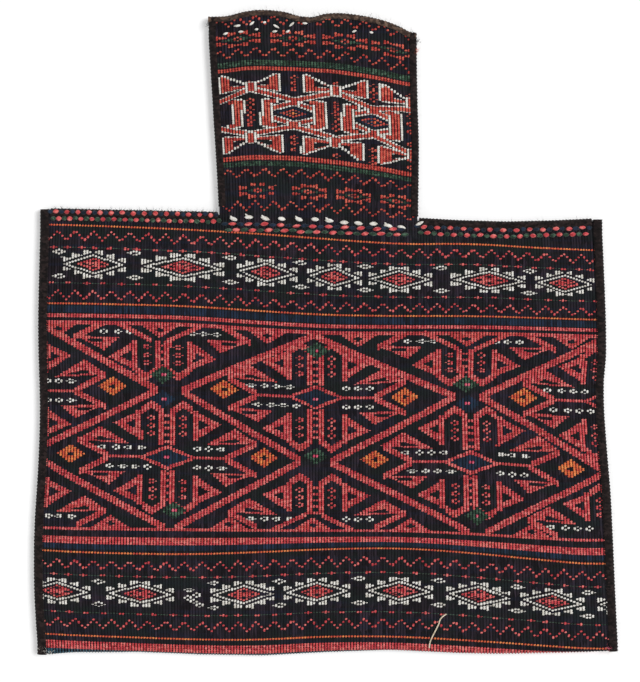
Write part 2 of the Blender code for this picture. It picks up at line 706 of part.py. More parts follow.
def cloth_mesh():
    """Closed solid of the folded strip, with the brocaded shapes standing proud of the front."""
    ring = outline()
    shapes = pattern()
    lines = fold_lines()
    for share in (0, 1):
        for sign in (-1, 1):
            lines += both_faces(swell_line(sign, SEAM_FLAT + share * SWELL_REACH))
    points = [point for face in both_faces(belly_points(BELLY_GRID)) for point in face]
    drawn = [chain for chain, _, _ in shapes]
    face_points, face_triangles = triangulate(ring, lines, points, drawn)
    lining_points, lining_triangles = triangulate(ring, lines, points, [])

    raised = {i for i, (_, owner) in enumerate(face_triangles) if owner and shapes[owner - 1][2]}
    groups = raised_corners(face_triangles, raised)
    mesh = bmesh.new()
    base = [mesh.verts.new(cloth_point(x, place, 0)) for x, place in face_points]
    lining = [mesh.verts.new(cloth_point(x, place, CLOTH_THICKNESS)) for x, place in lining_points]

    centres = {}
    for (v, index), key in groups.items():
        middle = sum((Vector(face_points[c]) for c in face_triangles[index][0]), Vector((0, 0))) / 3
        centres.setdefault(key, []).append(middle)
    directed = {}
    for index in raised:
        a, b, c = face_triangles[index][0]
        for pair in ((a, b), (b, c), (c, a)):
            directed[pair] = index
    rims = {pair: index for pair, index in directed.items() if pair[::-1] not in directed}
    rim_keys = {groups[v, index] for pair, index in rims.items() for v in pair}

    tops = {}
    for key, middles in centres.items():
        flat = Vector(face_points[key[0]])
        inward = sum(middles, Vector((0, 0))) / len(middles) - flat
        shift = inward.normalized() * BROCADE_TAPER if key in rim_keys else Vector((0, 0))
        x, place = flat + shift
        tops[key] = mesh.verts.new(cloth_point(x, place, -BROCADE_HEIGHT))

    for index, (corners, owner) in enumerate(face_triangles):
        yarn = shapes[owner - 1][1] if owner else "ground"
        if index in raised:
            face = mesh.faces.new([tops[groups[v, index]] for v in corners])
        else:
            face = mesh.faces.new([base[v] for v in corners])
        face.material_index = YARN_ORDER.index(yarn)
    for (a, b), index in rims.items():
        yarn = shapes[face_triangles[index][1] - 1][1]
        wall = mesh.faces.new([base[a], base[b], tops[groups[b, index]], tops[groups[a, index]]])
        wall.material_index = YARN_ORDER.index(yarn)
    for corners, _ in lining_triangles:
        mesh.faces.new([lining[v] for v in reversed(corners)])
    join_edges(mesh, base, lining, edge_loop(face_triangles), edge_loop(lining_triangles))
    loose = [v for v in mesh.verts if not v.link_faces]
    bmesh.ops.delete(mesh, geom=loose, context="VERTS")
    bmesh.ops.recalc_face_normals(mesh, faces=mesh.faces)
    return mesh


def edge_loop(triangles):
    """The boundary of a triangulation as next-vertex links."""
    directed = {pair for (a, b, c), _ in triangles for pair in ((a, b), (b, c), (c, a))}
    return {a: b for a, b in directed if (b, a) not in directed}


def walk(links, start):
    loop = [start]
    while links[loop[-1]] != start:
        loop.append(links[loop[-1]])
    return loop


def join_edges(mesh, outer, inner, outer_links, inner_links):
    """Closes the cloth's cut edge between its face and its lining, whose edges may be split differently."""
    def nearest(vertex, candidates):
        return min(candidates, key=lambda i: (inner[i].co - vertex.co).length_squared)

    start = next(iter(outer_links))
    ring = walk(outer_links, start)
    lining = walk(inner_links, nearest(outer[start], inner_links))
    targets = [nearest(outer[i], lining) for i in ring]
    position = {v: i for i, v in enumerate(lining)}
    for (i, a), ta in zip(enumerate(ring), targets):
        b = ring[(i + 1) % len(ring)]
        tb = targets[(i + 1) % len(ring)]
        step = position[ta]
        corner = ta
        mesh.faces.new([outer[b], outer[a], inner[ta]])
        while corner != tb:
            step = (step + 1) % len(lining)
            mesh.faces.new([outer[b], inner[corner], inner[lining[step]]])
            corner = lining[step]


def yarn_material(yarn):
    name = f"{yarn}_yarn"
    if name in bpy.data.materials:
        return bpy.data.materials[name]
    material = bpy.data.materials.new(name)
    material.use_nodes = True
    shader = material.node_tree.nodes["Principled BSDF"]
    shader.inputs["Base Color"].default_value = (*YARNS[yarn], 1)
    shader.inputs["Roughness"].default_value = 0.9
    shader.inputs["Metallic"].default_value = 0
    return material


def add_object(name, mesh, yarns, parent):
    data = bpy.data.meshes.new(name)
    mesh.to_mesh(data)
    mesh.free()
    for yarn in yarns:
        data.materials.append(yarn_material(yarn))
    data.shade_smooth()
    data.set_sharp_from_angle(angle=math.radians(40))
    made = bpy.data.objects.new(name, data)
    made.parent = parent
    bpy.context.scene.collection.objects.link(made)
    return made


def loft(sections):
    """Closed solid through rings of points with equal counts, capped at both ends."""
    mesh = bmesh.new()
    rings = [[mesh.verts.new(p) for p in section] for section in sections]
    count = len(rings[0])
    for low, high in zip(rings, rings[1:]):
        for i in range(count):
            j = (i + 1) % count
            mesh.faces.new([low[i], low[j], high[j], high[i]])
    for ring in (rings[0], rings[-1]):
        mesh.faces.new(ring)
    bmesh.ops.triangulate(mesh, faces=mesh.faces, ngon_method="EAR_CLIP")
    bmesh.ops.recalc_face_normals(mesh, faces=mesh.faces)
    return mesh


def tangents(points):
    """Direction of a flat path at each of its points."""
    found = []
    for i in range(len(points)):
        a = Vector(points[max(i - 1, 0)][:2])
        b = Vector(points[min(i + 1, len(points) - 1)][:2])
        found.append((b - a).normalized())
    return found


def resampled(points, pitch):
    """The same path with points at an even pitch."""
    lengths = [0.0]
    for a, b in zip(points, points[1:]):
        lengths.append(lengths[-1] + (Vector(b) - Vector(a)).length)
    count = max(2, round(lengths[-1] / pitch))
    found = []
    for distance in run(0, lengths[-1], count):
        index = next(i for i in range(1, len(points)) if distance <= lengths[i] + 1e-9)
        share = (distance - lengths[index - 1]) / (lengths[index] - lengths[index - 1])
        found.append(tuple(Vector(points[index - 1]).lerp(Vector(points[index]), share)))
    return found


def clasp_section(low, high, lap, out, wall):
    """Section of a binding that laps over an edge: inward distance and height, slot included."""
    middle = (low + high) / 2
    round_off = wall * BINDING_ROUND
    return [
        (lap, high), (lap - round_off, high + wall), (0, high + wall), (-out, middle + wall),
        (-out, middle - wall), (0, low - wall), (lap - round_off, low - wall), (lap, low),
        (-EDGE_GAP, low), (-EDGE_GAP, high),
    ]


def clasp(path, inwards, levels, lap, out, wall):
    """Binding along a path of the cloth's edge; levels gives the slot's two heights at a point."""
    sections = []
    for i, ((x, y), inward) in enumerate(zip(path, inwards)):
        low, high = levels(x, y)
        full, ease = (1, TURN_EASE) if i % 2 else (1 - WRAP_BULGE, 0)
        section = clasp_section(low - ease, high + ease, lap, out * full, wall * full)
        sections.append([(x + inward.x * a, y + inward.y * a, z) for a, z in section])
    return loft(sections)


def seam_levels(x, y):
    return SEAM_BOTTOM - CLEARANCE, SEAM_TOP + BROCADE_HEIGHT + CLEARANCE


def front_rim_levels(x, y):
    top = cloth_top(x, mouth_y(x, True))
    return top - CLOTH_THICKNESS - CLEARANCE, top + BROCADE_HEIGHT + CLEARANCE


def back_rim_levels(x, y):
    bottom = cloth_bottom(x, mouth_y(x, False))
    return bottom - CLEARANCE, bottom + CLOTH_THICKNESS + CLEARANCE


def side_binding_path(sign):
    path = side_run(sign)
    x, y = path[-1]
    return path + [(x, y + BINDING_OUT)]


def shoulder_binding_path(sign):
    """Between the side's binding and the neck's, clear of both."""
    edge = side_run(sign)[-1][0]
    start = edge - sign * (SIDE_LAP + CLEARANCE)
    end = neck_corner(sign)[0] + sign * (BINDING_OUT + CLEARANCE)
    return [(x, shoulder_y(x, sign)) for x in run(start, end, 10)]


def neck_binding_path(sign):
    low = neck_corner(sign)[1] + BINDING_OUT + 2 * CLEARANCE
    high = mouth_y(NECK_OFFSET + sign * NECK_WIDTH / 2, False) + MOUTH_OUT
    return [(neck_x(y, sign), y) for y in run(low, high, 14)]


def yarn_row(cloth, path, width, height, pitch, waist):
    """Row of plump stitches lying on the cloth, drawn in between one stitch and the next."""
    points = resampled(path, pitch / 2)
    sections = []
    for i, ((x, y), along) in enumerate(zip(points, tangents(points))):
        across = Vector((-along.y, along.x))
        plump = 1 if i % 2 else waist
        half = width / 2 * plump
        base = resting_height(cloth, x, y, max(half, pitch / 4)) + CLEARANCE
        outline_points = ((-half, 0), (-half * 0.5, height * plump), (half * 0.5, height * plump), (half, 0))
        sections.append([(x + across.x * a, y + across.y * a, base + z) for a, z in outline_points])
    return loft(sections)


def twining_height(x):
    """Line of the twined rows: under each shoulder's binding and straight across the neck's foot."""
    drop = SHOULDER_LAP + TWINING_WIDTH / 2 + 3 * CLEARANCE
    left_x, left_y = neck_corner(-1)
    right_x, right_y = neck_corner(1)
    if x < left_x:
        return shoulder_y(x, -1) - drop
    if x > right_x:
        return shoulder_y(x, 1) - drop
    share = (x - left_x) / (right_x - left_x)
    return left_y + (right_y - left_y) * share - drop


def twining_path(start, end):
    return [(x, twining_height(x)) for x in run(start, end, 20)]


def stitch_path():
    """White running stitches across the neck's foot, above the twined rows."""
    left = neck_corner(-1)[0] + NECK_LAP + STITCH_WIDTH
    right = neck_corner(1)[0] - NECK_LAP - STITCH_WIDTH
    above = TWINING_WIDTH / 2 + STITCH_WIDTH / 2 + 2 * CLEARANCE
    return [(x, twining_height(x) + above) for x in run(left, right, 14)]


# Route of the loose warp end by the bottom fold: x and height up from the fold
THREAD_ROUTE = ((95, 31), (92, 29), (89.8, 26.5), (89, 23), (87, 19), (85, 15), (83, 11), (82, 8), (81.5, 4))


def smooth_route(points, steps):
    """Points along a curve that passes through the route's own points."""
    numbered = list(enumerate(points))
    found = []
    for place in run(0, len(points) - 1, steps):
        found.append(tuple(smooth_read([(i, p[k]) for i, p in numbered], place) for k in (0, 1)))
    return found


def add_thread(cloth, parent):
    curve = bpy.data.curves.new("loose_thread", "CURVE")
    curve.dimensions = "3D"
    curve.bevel_depth = THREAD_RADIUS
    curve.bevel_resolution = 2
    curve.use_fill_caps = True
    spline = curve.splines.new("POLY")
    lift = THREAD_RADIUS + CLEARANCE
    route = [(x * MM, y * MM) for x, y in smooth_route(THREAD_ROUTE, 11)]
    spline.points.add(len(route) - 1)
    for point, (x, y) in zip(spline.points, route):
        point.co = (x, y, resting_height(cloth, x, y, 2 * THREAD_RADIUS) + lift, 1)
    curve.materials.append(yarn_material("white"))
    made = bpy.data.objects.new("loose_thread", curve)
    made.parent = parent
    bpy.context.scene.collection.objects.link(made)
    return made


def seam_binding(path, side, lap):
    """Overcast seam along a path, with the cloth on its left where side is 1 and its right where -1."""
    points = resampled(path, WRAP_PITCH / 2)
    inwards = [Vector((-along.y, along.x)) * side for along in tangents(points)]
    return clasp(points, inwards, seam_levels, lap, BINDING_OUT, BINDING_WALL)


def rim_binding(front):
    levels = front_rim_levels if front else back_rim_levels
    path = rim_run(front)
    return clasp(path, [Vector((0, -1))] * len(path), levels, MOUTH_LAP, MOUTH_OUT, MOUTH_WALL)


def add_bindings(parent):
    solids = {}
    for sign, word in ((-1, "left"), (1, "right")):
        solids[f"{word}_side_binding"] = seam_binding(side_binding_path(sign), sign, SIDE_LAP)
        solids[f"{word}_shoulder_binding"] = seam_binding(shoulder_binding_path(sign), sign, SHOULDER_LAP)
        solids[f"{word}_neck_binding"] = seam_binding(neck_binding_path(sign), sign, NECK_LAP)
    solids["front_mouth_binding"] = rim_binding(True)
    solids["back_mouth_binding"] = rim_binding(False)
    return [add_object(name, solid, ["goat_hair"], parent) for name, solid in solids.items()]


def add_trim(cloth, parent):
    left = side_run(-1)[-1][0] + SIDE_LAP + 3 * CLEARANCE
    right = side_run(1)[-1][0] - SIDE_LAP - 3 * CLEARANCE
    joints = [left, neck_corner(-1)[0], neck_corner(1)[0], right]
    made = []
    for word, start, end in zip(("left", "centre", "right"), joints, joints[1:]):
        path = twining_path(start + CLEARANCE, end - CLEARANCE)
        row = yarn_row(cloth, path, TWINING_WIDTH, TWINING_HEIGHT, TWINING_PITCH, TWINING_WAIST)
        made.append(add_object(f"{word}_shoulder_twining", row, ["madder_red"], parent))
    stitches = yarn_row(cloth, stitch_path(), STITCH_WIDTH, STITCH_HEIGHT, STITCH_PITCH, STITCH_WAIST)
    made.append(add_object("white_running_stitch", stitches, ["white"], parent))
    return made


def centre_on_ground(root, objects):
    """Moves the bag so that the middle of its underside is the origin."""
    corners = [v.co for made in objects for v in made.data.vertices]
    low = [min(c[i] for c in corners) for i in range(3)]
    high = [max(c[i] for c in corners) for i in range(3)]
    root.location = (-(low[0] + high[0]) / 2, -(low[1] + high[1]) / 2, -low[2])


def build():
    for existing in list(bpy.data.objects):
        bpy.data.objects.remove(existing)
    root = bpy.data.objects.new("bag_root", None)
    bpy.context.scene.collection.objects.link(root)
    cloth_solid = cloth_mesh()
    cloth_face = BVHTree.FromBMesh(cloth_solid)
    cloth = add_object("woven_cloth", cloth_solid, YARN_ORDER, root)
    made = [cloth] + add_bindings(root) + add_trim(cloth_face, root)
    add_thread(cloth_face, root)
    centre_on_ground(root, made)


build()
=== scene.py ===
# %% [markdown]
# # A flat-woven salt bag
# The bag is one strip of wool cloth, shaped on the loom like a bottle, folded at the bottom and
# overcast with dark goat hair along its edges. The front is worked in wrapped wefts: each coloured
# stitch goes round one rib of warps, so every line of the pattern is made of small beads in columns.
# The CAD model gives the bag's real size and shape. This script dresses it rib by rib.

# %% Frame
import json
import math

import bmesh
import bpy
import numpy as np
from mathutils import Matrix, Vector
from mathutils.bvhtree import BVHTree

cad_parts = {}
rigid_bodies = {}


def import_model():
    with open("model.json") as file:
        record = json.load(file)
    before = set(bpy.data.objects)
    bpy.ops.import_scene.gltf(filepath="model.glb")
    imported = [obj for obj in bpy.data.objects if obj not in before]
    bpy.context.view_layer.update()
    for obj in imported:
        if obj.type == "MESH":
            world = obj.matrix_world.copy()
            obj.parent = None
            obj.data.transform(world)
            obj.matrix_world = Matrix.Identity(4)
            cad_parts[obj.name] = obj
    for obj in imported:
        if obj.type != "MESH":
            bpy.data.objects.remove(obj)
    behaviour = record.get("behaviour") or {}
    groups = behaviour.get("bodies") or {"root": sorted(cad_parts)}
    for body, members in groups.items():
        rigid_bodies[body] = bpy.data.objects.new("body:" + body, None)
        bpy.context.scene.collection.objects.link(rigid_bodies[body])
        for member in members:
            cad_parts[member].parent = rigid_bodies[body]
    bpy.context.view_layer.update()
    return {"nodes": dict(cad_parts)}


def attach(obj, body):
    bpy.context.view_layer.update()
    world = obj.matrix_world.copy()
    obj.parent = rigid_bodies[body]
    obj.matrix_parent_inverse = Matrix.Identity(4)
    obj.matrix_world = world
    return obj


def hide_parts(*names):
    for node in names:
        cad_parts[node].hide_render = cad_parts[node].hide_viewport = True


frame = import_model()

MM = 0.001
rng = np.random.default_rng(7)

# %% [markdown]
# ## Camera
# The bag lies on its back and the photograph looks straight down on it. One pixel is 0.79 mm on
# the bag, which comes from the pitch of the ribs, and holds for the seams a few millimetres above
# the paper. A long lens keeps the edges free of perspective.

# %% Camera
# Sizes are in mm. The middle of the bag is at BAG_PIXEL, and SCALE_HEIGHT is the seams' height.
PIXEL = 0.79
PHOTO_WIDTH, PHOTO_HEIGHT = 640, 682
BAG_PIXEL = (325.5, 333)
LENS, SENSOR = 100, 36
SCALE_HEIGHT = 3

camera_data = bpy.data.cameras.new("camera")
camera_data.lens, camera_data.sensor_width = LENS, SENSOR
camera = bpy.data.objects.new("camera", camera_data)
bpy.context.scene.collection.objects.link(camera)
bpy.context.scene.camera = camera
camera.location = ((PHOTO_WIDTH / 2 - BAG_PIXEL[0]) * PIXEL * MM,
                   (BAG_PIXEL[1] - PHOTO_HEIGHT / 2) * PIXEL * MM,
                   (PHOTO_HEIGHT * PIXEL * LENS / SENSOR + SCALE_HEIGHT) * MM)
print("camera height in mm:", round(camera.location.z / MM))

# %% [markdown]
# ## Reading the cloth from the CAD model
# Every thread follows the surface of the CAD cloth, so its shape is read with plumb lines. A line
# through the bag meets the front's face, its lining, the back's lining and the back's face. The
# front's raised shapes are left out by starting from its lining, one cloth thickness below.

# %% Plumb lines
HALVINGS = 14
cloth_node = frame["nodes"]["woven_cloth"]
cloth_tree = BVHTree.FromPolygons([v.co.copy() for v in cloth_node.data.vertices],
                                  [tuple(p.vertices) for p in cloth_node.data.polygons])


def layers(x, y):
    """Heights in mm where a plumb line meets the cloth, from the top down."""
    found = []
    start = Vector((x * MM, y * MM, 0.1))
    while True:
        hit = cloth_tree.ray_cast(start, Vector((0, 0, -1)))[0]
        if hit is None:
            return found
        found.append(hit.z / MM)
        start = hit - Vector((0, 0, 0.01 * MM))


def reach(x, y, along_x, along_y, needed, far=300.0):
    """Distance in mm from a point to where fewer than the needed faces are met, by halving."""
    near = 0.0
    for _ in range(HALVINGS):
        middle = (near + far) / 2
        if len(layers(x + along_x * middle, y + along_y * middle)) >= needed:
            near = middle
        else:
            far = middle
    return near


BOTH_LAYERS, ONE_LAYER = 3, 1
THICKNESS = layers(0, 0)[2] - layers(0, 0)[3]
print("cloth thickness in mm:", round(THICKNESS, 2))

# %% [markdown]
# The outline is walked next: the sides and the neck row by row, the shoulders, the mouth and the
# fold column by column. Between the places measured the edge is read off in a straight line.

# %% Outline
BODY_ROWS = np.linspace(-244, 80, 34)
NECK_ROWS = np.linspace(101, 232, 15)
MIDDLE_X = -5.0
SHOULDER_START, SHOULDER_REACH = 60, 55
NECK_MIDDLE = 150
SAFE_MARGIN = 1.5


def side_places(rows, way):
    """Edge of the cloth at each row, left (-1) or right (1) of the middle."""
    return np.array([MIDDLE_X + way * reach(MIDDLE_X, y, way, 0, BOTH_LAYERS) for y in rows])


body_left, body_right = side_places(BODY_ROWS, -1), side_places(BODY_ROWS, 1)
neck_left, neck_right = side_places(NECK_ROWS, -1), side_places(NECK_ROWS, 1)
LEFT_CORNER, RIGHT_CORNER = neck_left[0], neck_right[0]
COLUMNS = np.linspace(-228, 228, 153)


def safe_x(x, left, right):
    """The place kept a little inside two edges."""
    return min(max(x, left + SAFE_MARGIN), right - SAFE_MARGIN)


body_columns = [safe_x(x, body_left[-1], body_right[-1]) for x in COLUMNS]
shoulder_top = np.array([SHOULDER_START + reach(x, SHOULDER_START, 0, 1, BOTH_LAYERS, SHOULDER_REACH)
                         for x in body_columns])
neck_columns = [safe_x(x, LEFT_CORNER + 3, neck_right[-1]) for x in COLUMNS]
mouth_front = np.array([NECK_MIDDLE + reach(x, NECK_MIDDLE, 0, 1, BOTH_LAYERS) for x in neck_columns])
mouth_back = np.array([NECK_MIDDLE + reach(x, NECK_MIDDLE, 0, 1, ONE_LAYER) for x in neck_columns])
fold_columns = [safe_x(x, body_left[0], body_right[0]) for x in COLUMNS]
fold = np.array([BODY_ROWS[0] - reach(x, BODY_ROWS[0], 0, -1, ONE_LAYER) for x in fold_columns])
print("body width in mm:", round(body_right[10] - body_left[10], 1))
print("neck width in mm:", round(RIGHT_CORNER - LEFT_CORNER, 1))

# %% [markdown]
# The two faces' heights are read next, on an even grid. A plumb line per point of every stitch
# would be slow, and a grid is quick to read. Past the edges the nearest heights carry on, and the
# mean of neighbours takes out the small steps between the CAD's flat faces, as soft cloth does.

# %% Heights
GRID = 5.0
GRID_X = np.arange(-240, 241, GRID)
GRID_Y = np.arange(-260, 266, GRID)


def height_grid(front):
    """Heights of one face on an even grid, carried on past the edges and softened like cloth."""
    heights = np.full((len(GRID_Y), len(GRID_X)), np.nan)
    for j, y in enumerate(GRID_Y):
        for i, x in enumerate(GRID_X):
            met = layers(x, y)
            if front and len(met) >= BOTH_LAYERS:
                heights[j, i] = met[1] + THICKNESS
            elif not front and len(met) >= BOTH_LAYERS:
                heights[j, i] = met[-1]
    while np.isnan(heights).any():
        padded = np.pad(heights, 1, constant_values=np.nan)
        around = [padded[1 + a:padded.shape[0] - 1 + a, 1 + b:padded.shape[1] - 1 + b]
                  for a in (-1, 0, 1) for b in (-1, 0, 1)]
        known = np.sum([~np.isnan(part) for part in around], axis=0)
        total = np.sum([np.nan_to_num(part) for part in around], axis=0)
        spread = np.where(known > 0, total / np.maximum(known, 1), np.nan)
        heights = np.where(np.isnan(heights), spread, heights)
    padded = np.pad(heights, 1, mode="edge")
    tall, wide = heights.shape
    return sum(padded[a:a + tall, b:b + wide] for a in range(3) for b in range(3)) / 9


front_heights, back_heights = height_grid(True), height_grid(False)


def read_grid(heights, x, y):
    """Height between the grid's places, for whole arrays at once."""
    column = np.clip((x - GRID_X[0]) / GRID, 0, len(GRID_X) - 1.001)
    row = np.clip((y - GRID_Y[0]) / GRID, 0, len(GRID_Y) - 1.001)
    i, j = column.astype(int), row.astype(int)
    a, b = column - i, row - j
    low = heights[j, i] * (1 - a) + heights[j, i + 1] * a
    high = heights[j + 1, i] * (1 - a) + heights[j + 1, i + 1] * a
    return low * (1 - b) + high * b


print("belly height in mm:", round(float(front_heights.max()), 1))

# %% [markdown]
# ## The ribs
# Warps run up the bag in ribs 2.3 mm apart, and keep their number from the fold to the shoulders,
# so they follow the hand-made edges. A rib is known by its number and a place on it by how far up
# the strip it is. Past the fold the strip turns round a small roll and runs up the back.

# %% Ribs
RIB_PITCH = 2.3
LEFT_RIBS, NECK_RIBS, RIGHT_RIBS = 62, 66, 64
NECK_START, NECK_END = LEFT_RIBS, LEFT_RIBS + NECK_RIBS
ALL_RIBS = LEFT_RIBS + NECK_RIBS + RIGHT_RIBS
FOLD_LEVEL, SHOULDER_LEVEL, MOUTH_LEVEL = -240, 80, 235

# Towards the mouth the worn neck has spread a little, out over its own seams
NECK_SPREAD, SPREAD_HEIGHT = 1.5, 60.0
spread = NECK_SPREAD * np.clip((NECK_ROWS - NECK_ROWS[0]) / SPREAD_HEIGHT, 0, 1)
neck_left, neck_right = neck_left - spread, neck_right + spread


def body_x(rib, y):
    """Place across the body of a rib, counted from the left edge, at a height."""
    left, right = np.interp(y, BODY_ROWS, body_left), np.interp(y, BODY_ROWS, body_right)
    first = left + (LEFT_CORNER - left) * rib / LEFT_RIBS
    second = LEFT_CORNER + (RIGHT_CORNER - LEFT_CORNER) * (rib - NECK_START) / NECK_RIBS
    third = RIGHT_CORNER + (right - RIGHT_CORNER) * (rib - NECK_END) / RIGHT_RIBS
    return np.where(rib < NECK_START, first, np.where(rib < NECK_END, second, third))


def neck_x(rib, y):
    """Place across the neck of a rib at a height."""
    left, right = np.interp(y, NECK_ROWS, neck_left), np.interp(y, NECK_ROWS, neck_right)
    return left + (right - left) * (rib - NECK_START) / NECK_RIBS


def foot_line(x):
    """Height of the line across the neck's foot, where the body ends and the neck begins."""
    ends = [np.interp(c, COLUMNS, shoulder_top) for c in (LEFT_CORNER - 6, RIGHT_CORNER + 6)]
    return np.interp(x, (LEFT_CORNER, RIGHT_CORNER), ends)


FOOT_BLEND = (88, 102)


def rib_x(rib, y):
    """Place across the strip at any height: on the neck above its foot, otherwise on the body."""
    rib, y = np.broadcast_arrays(np.asarray(rib, float), np.asarray(y, float))
    lower = body_x(rib, np.minimum(y, BODY_ROWS[-1]))
    share = np.clip((y - FOOT_BLEND[0]) / (FOOT_BLEND[1] - FOOT_BLEND[0]), 0, 1)
    in_neck = (rib >= NECK_START) & (rib <= NECK_END)
    return np.where(in_neck, lower * (1 - share) + neck_x(rib, y) * share, lower)


print("ribs:", ALL_RIBS, "pitch in mm:", round((RIGHT_CORNER - LEFT_CORNER) / NECK_RIBS, 2))

# %% [markdown]
# A place on the strip is turned into a point in space here. Bending a flat mesh with a modifier
# would stretch the stitches at the fold, so the roll is worked out as an arc of the real radius.

# %% Round the fold
ROLL_LIFT = 4.2


def roll(x):
    """The fold's roll: how high up the front meets it, its radius and how high its middle lies."""
    edge = np.interp(x, COLUMNS, fold)
    top = read_grid(front_heights, x, edge + ROLL_LIFT)
    low = read_grid(back_heights, x, edge + ROLL_LIFT)
    radius = (top - low) / 2
    return edge + radius, radius, (top + low) / 2


def strip(x, place):
    """Points of the strip for arrays: place is height up the front, and carries on round the fold."""
    tangent, radius, middle = roll(x)
    turn = np.clip((tangent - place) / radius, 0, math.pi)
    behind = tangent + (tangent - place) - math.pi * radius
    y = np.where(turn <= 0, place, np.where(turn >= math.pi, behind, tangent - radius * np.sin(turn)))
    rolled = middle + radius * np.cos(turn)
    z = np.where(turn <= 0, read_grid(front_heights, x, y),
                 np.where(turn >= math.pi, read_grid(back_heights, x, y), rolled))
    return y, z, -np.sin(turn), np.cos(turn)


def back_place(x, y):
    """Place on the strip of a point of the back at height y."""
    tangent, radius, _ = roll(x)
    return tangent - math.pi * radius - (y - tangent)


print("radius of the fold in mm:", round(float(roll(0.0)[1]), 2))

# %% [markdown]
# ## The weaver's chart
# The pattern is drawn as the weaver would count it: stripes, zigzags, lozenges and hooked shapes,
# in millimetres across the bag and up from the fold. The rows of hand-woven cloth wander, so each
# row has a drift that was read at a few places. A shape colours the stitches that it covers.

# %% Drift of the rows
FOLD_ROW = -251.7
DRIFT_PLACES = (-221, -162, -107, -52, 0, 59, 114, 165, 214)
DRIFT_ROWS = (
    (1.6, (3.9, 1.5, -0.8, -1.6, 1.5, 1.2, -2, -5.2, -8.7)),
    (79, (1.9, -0.2, -1, 0.8, 3.4, 4.3, 0.4, -4.8, -9.5)),
    (95.6, (2.7, 2.2, 1.6, 1.1, 0.8, 0.8, -1.6, -4.8, -7.5)),
    (151.7, (4.7, 3.1, 1.9, 0.4, -0.8, -1.2, -1.2, -4.8, -9.9)),
    (203, (3.2, 3.2, 2.8, 0, -2.4, -2, -0.8, -3.1, -5.5)),
    (254.4, (6, 5.1, 3.9, 0, -3, -3, -3, -4, -5.6)),
    (327.8, (9.5, 7.5, 5.2, 1.6, -2.5, -6.7, -5.8, -9.4, -11.3)),
)
NECK_DRIFT_PLACES = (-87, -59, -25, 8, 38, 68)
NECK_DRIFT_ROWS = (
    (340.5, (1.2, 1.3, 1.6, -0.9, -2.8, -5.9)),
    (385.5, (1.6, 3.6, 2.9, -0.4, -4.7, -9.9)),
    (456.6, (1, 3.6, 2.5, 0.6, -4, -9.1)),
    (500.9, (0, 2.4, 2, 0.8, -2.4, -9.5)),
)


def drift(places, table, x, row):
    """Shift in mm of chart rows at places across the cloth, for arrays of one shape."""
    fine = np.linspace(places[0], places[-1], 200)
    soft = np.ones(25) / 25
    curves = []
    for _, shifts in table:
        curve = np.interp(fine, places, shifts)
        curves.append(np.convolve(np.pad(curve, 12, mode="edge"), soft, mode="valid"))
    read = np.array([np.interp(x, fine, curve) for curve in curves])
    rows = np.array([height for height, _ in table])
    index = np.clip(np.searchsorted(rows, row) - 1, 0, len(rows) - 2)
    share = np.clip((row - rows[index]) / (rows[index + 1] - rows[index]), 0, 1)
    share, index = np.broadcast_to(share, x.shape), np.broadcast_to(index, x.shape)
    low = np.take_along_axis(read, index[None], 0)[0]
    high = np.take_along_axis(read, index[None] + 1, 0)[0]
    return low + (high - low) * share


# %% [markdown]
# A chart is a table of stitches: ribs across, rows up, and the number of a yarn in each place. A
# picture laid over the cloth would blur at a stitch's edge, while a chart gives each bead one
# yarn. Shapes are filled in over one another, so the last one drawn shows, as in needlework.

# %% A chart of stitches
YARNS = ["ground", "madder_red", "neck_red", "white", "orange", "green", "navy", "teal", "pink"]
ROW = 0.75


def make_chart(ribs, low, high, places, table, across):
    """Stitches on a range of ribs, each with its place across and up the bag, all ground yarn."""
    row = np.arange(low, high, ROW)
    rib = np.array(ribs, float)[:, None] + 0.5
    y = row[None, :] + FOLD_ROW
    x = across(rib, y)
    y = y + drift(places, table, x, row[None, :])
    return {"rib": rib[:, 0], "x": across(rib, y), "row": row, "place": y, "yarn": np.zeros(x.shape, int)}


def fill(chart, polygon, yarn):
    """Colours the stitches whose middles lie in a polygon of chart points."""
    rows = [point[1] for point in polygon]
    first, last = np.searchsorted(chart["row"], (min(rows), max(rows)))
    x, row = chart["x"][:, first:last], chart["row"][None, first:last]
    covered = np.zeros(x.shape, bool)
    for (x0, y0), (x1, y1) in zip(polygon, polygon[1:] + polygon[:1]):
        if y0 != y1:
            crossed = (row > min(y0, y1)) & (row <= max(y0, y1))
            covered ^= crossed & (x < x0 + (row - y0) * (x1 - x0) / (y1 - y0))
    chart["yarn"][:, first:last][covered] = YARNS.index(yarn)


def band(points, width):
    """Strip of even height along a line of chart points."""
    half = width / 2
    return [(x, y - half) for x, y in points] + [(x, y + half) for x, y in reversed(points)]


def bar(left, low, right, high):
    """Upright or lying oblong."""
    return [(left, low), (right, low), (right, high), (left, high)]


def lozenge(across, row, half_width, half_height):
    """Diamond that stands on its point."""
    return [(across - half_width, row), (across, row - half_height),
            (across + half_width, row), (across, row + half_height)]


def moved(points, across, row, flip_x=1, flip_y=1):
    """A shape drawn round the origin, mirrored and set at a place."""
    return [(across + flip_x * x, row + flip_y * y) for x, y in points]


def ring(chart, across, row, yarn, half_width=3.6, half_height=2.4, core="ground"):
    """Small eyelet of a few stitches with a hole in the middle."""
    fill(chart, lozenge(across, row, half_width, half_height + 0.4), yarn)
    fill(chart, lozenge(across, row, half_width * 0.42, half_height * 0.45), core)


# Height in mm of a line that is one stitch thick, and the length of a stitch along its rib
STITCH_LINE = 1.7
BEAD = 1.55

# %% [markdown]
# ### Bands above and below the field
# Narrow stripes, one-stitch zigzags and rows of white star lozenges with red cores. The dotted
# lines are green with a small red lozenge every few ribs.

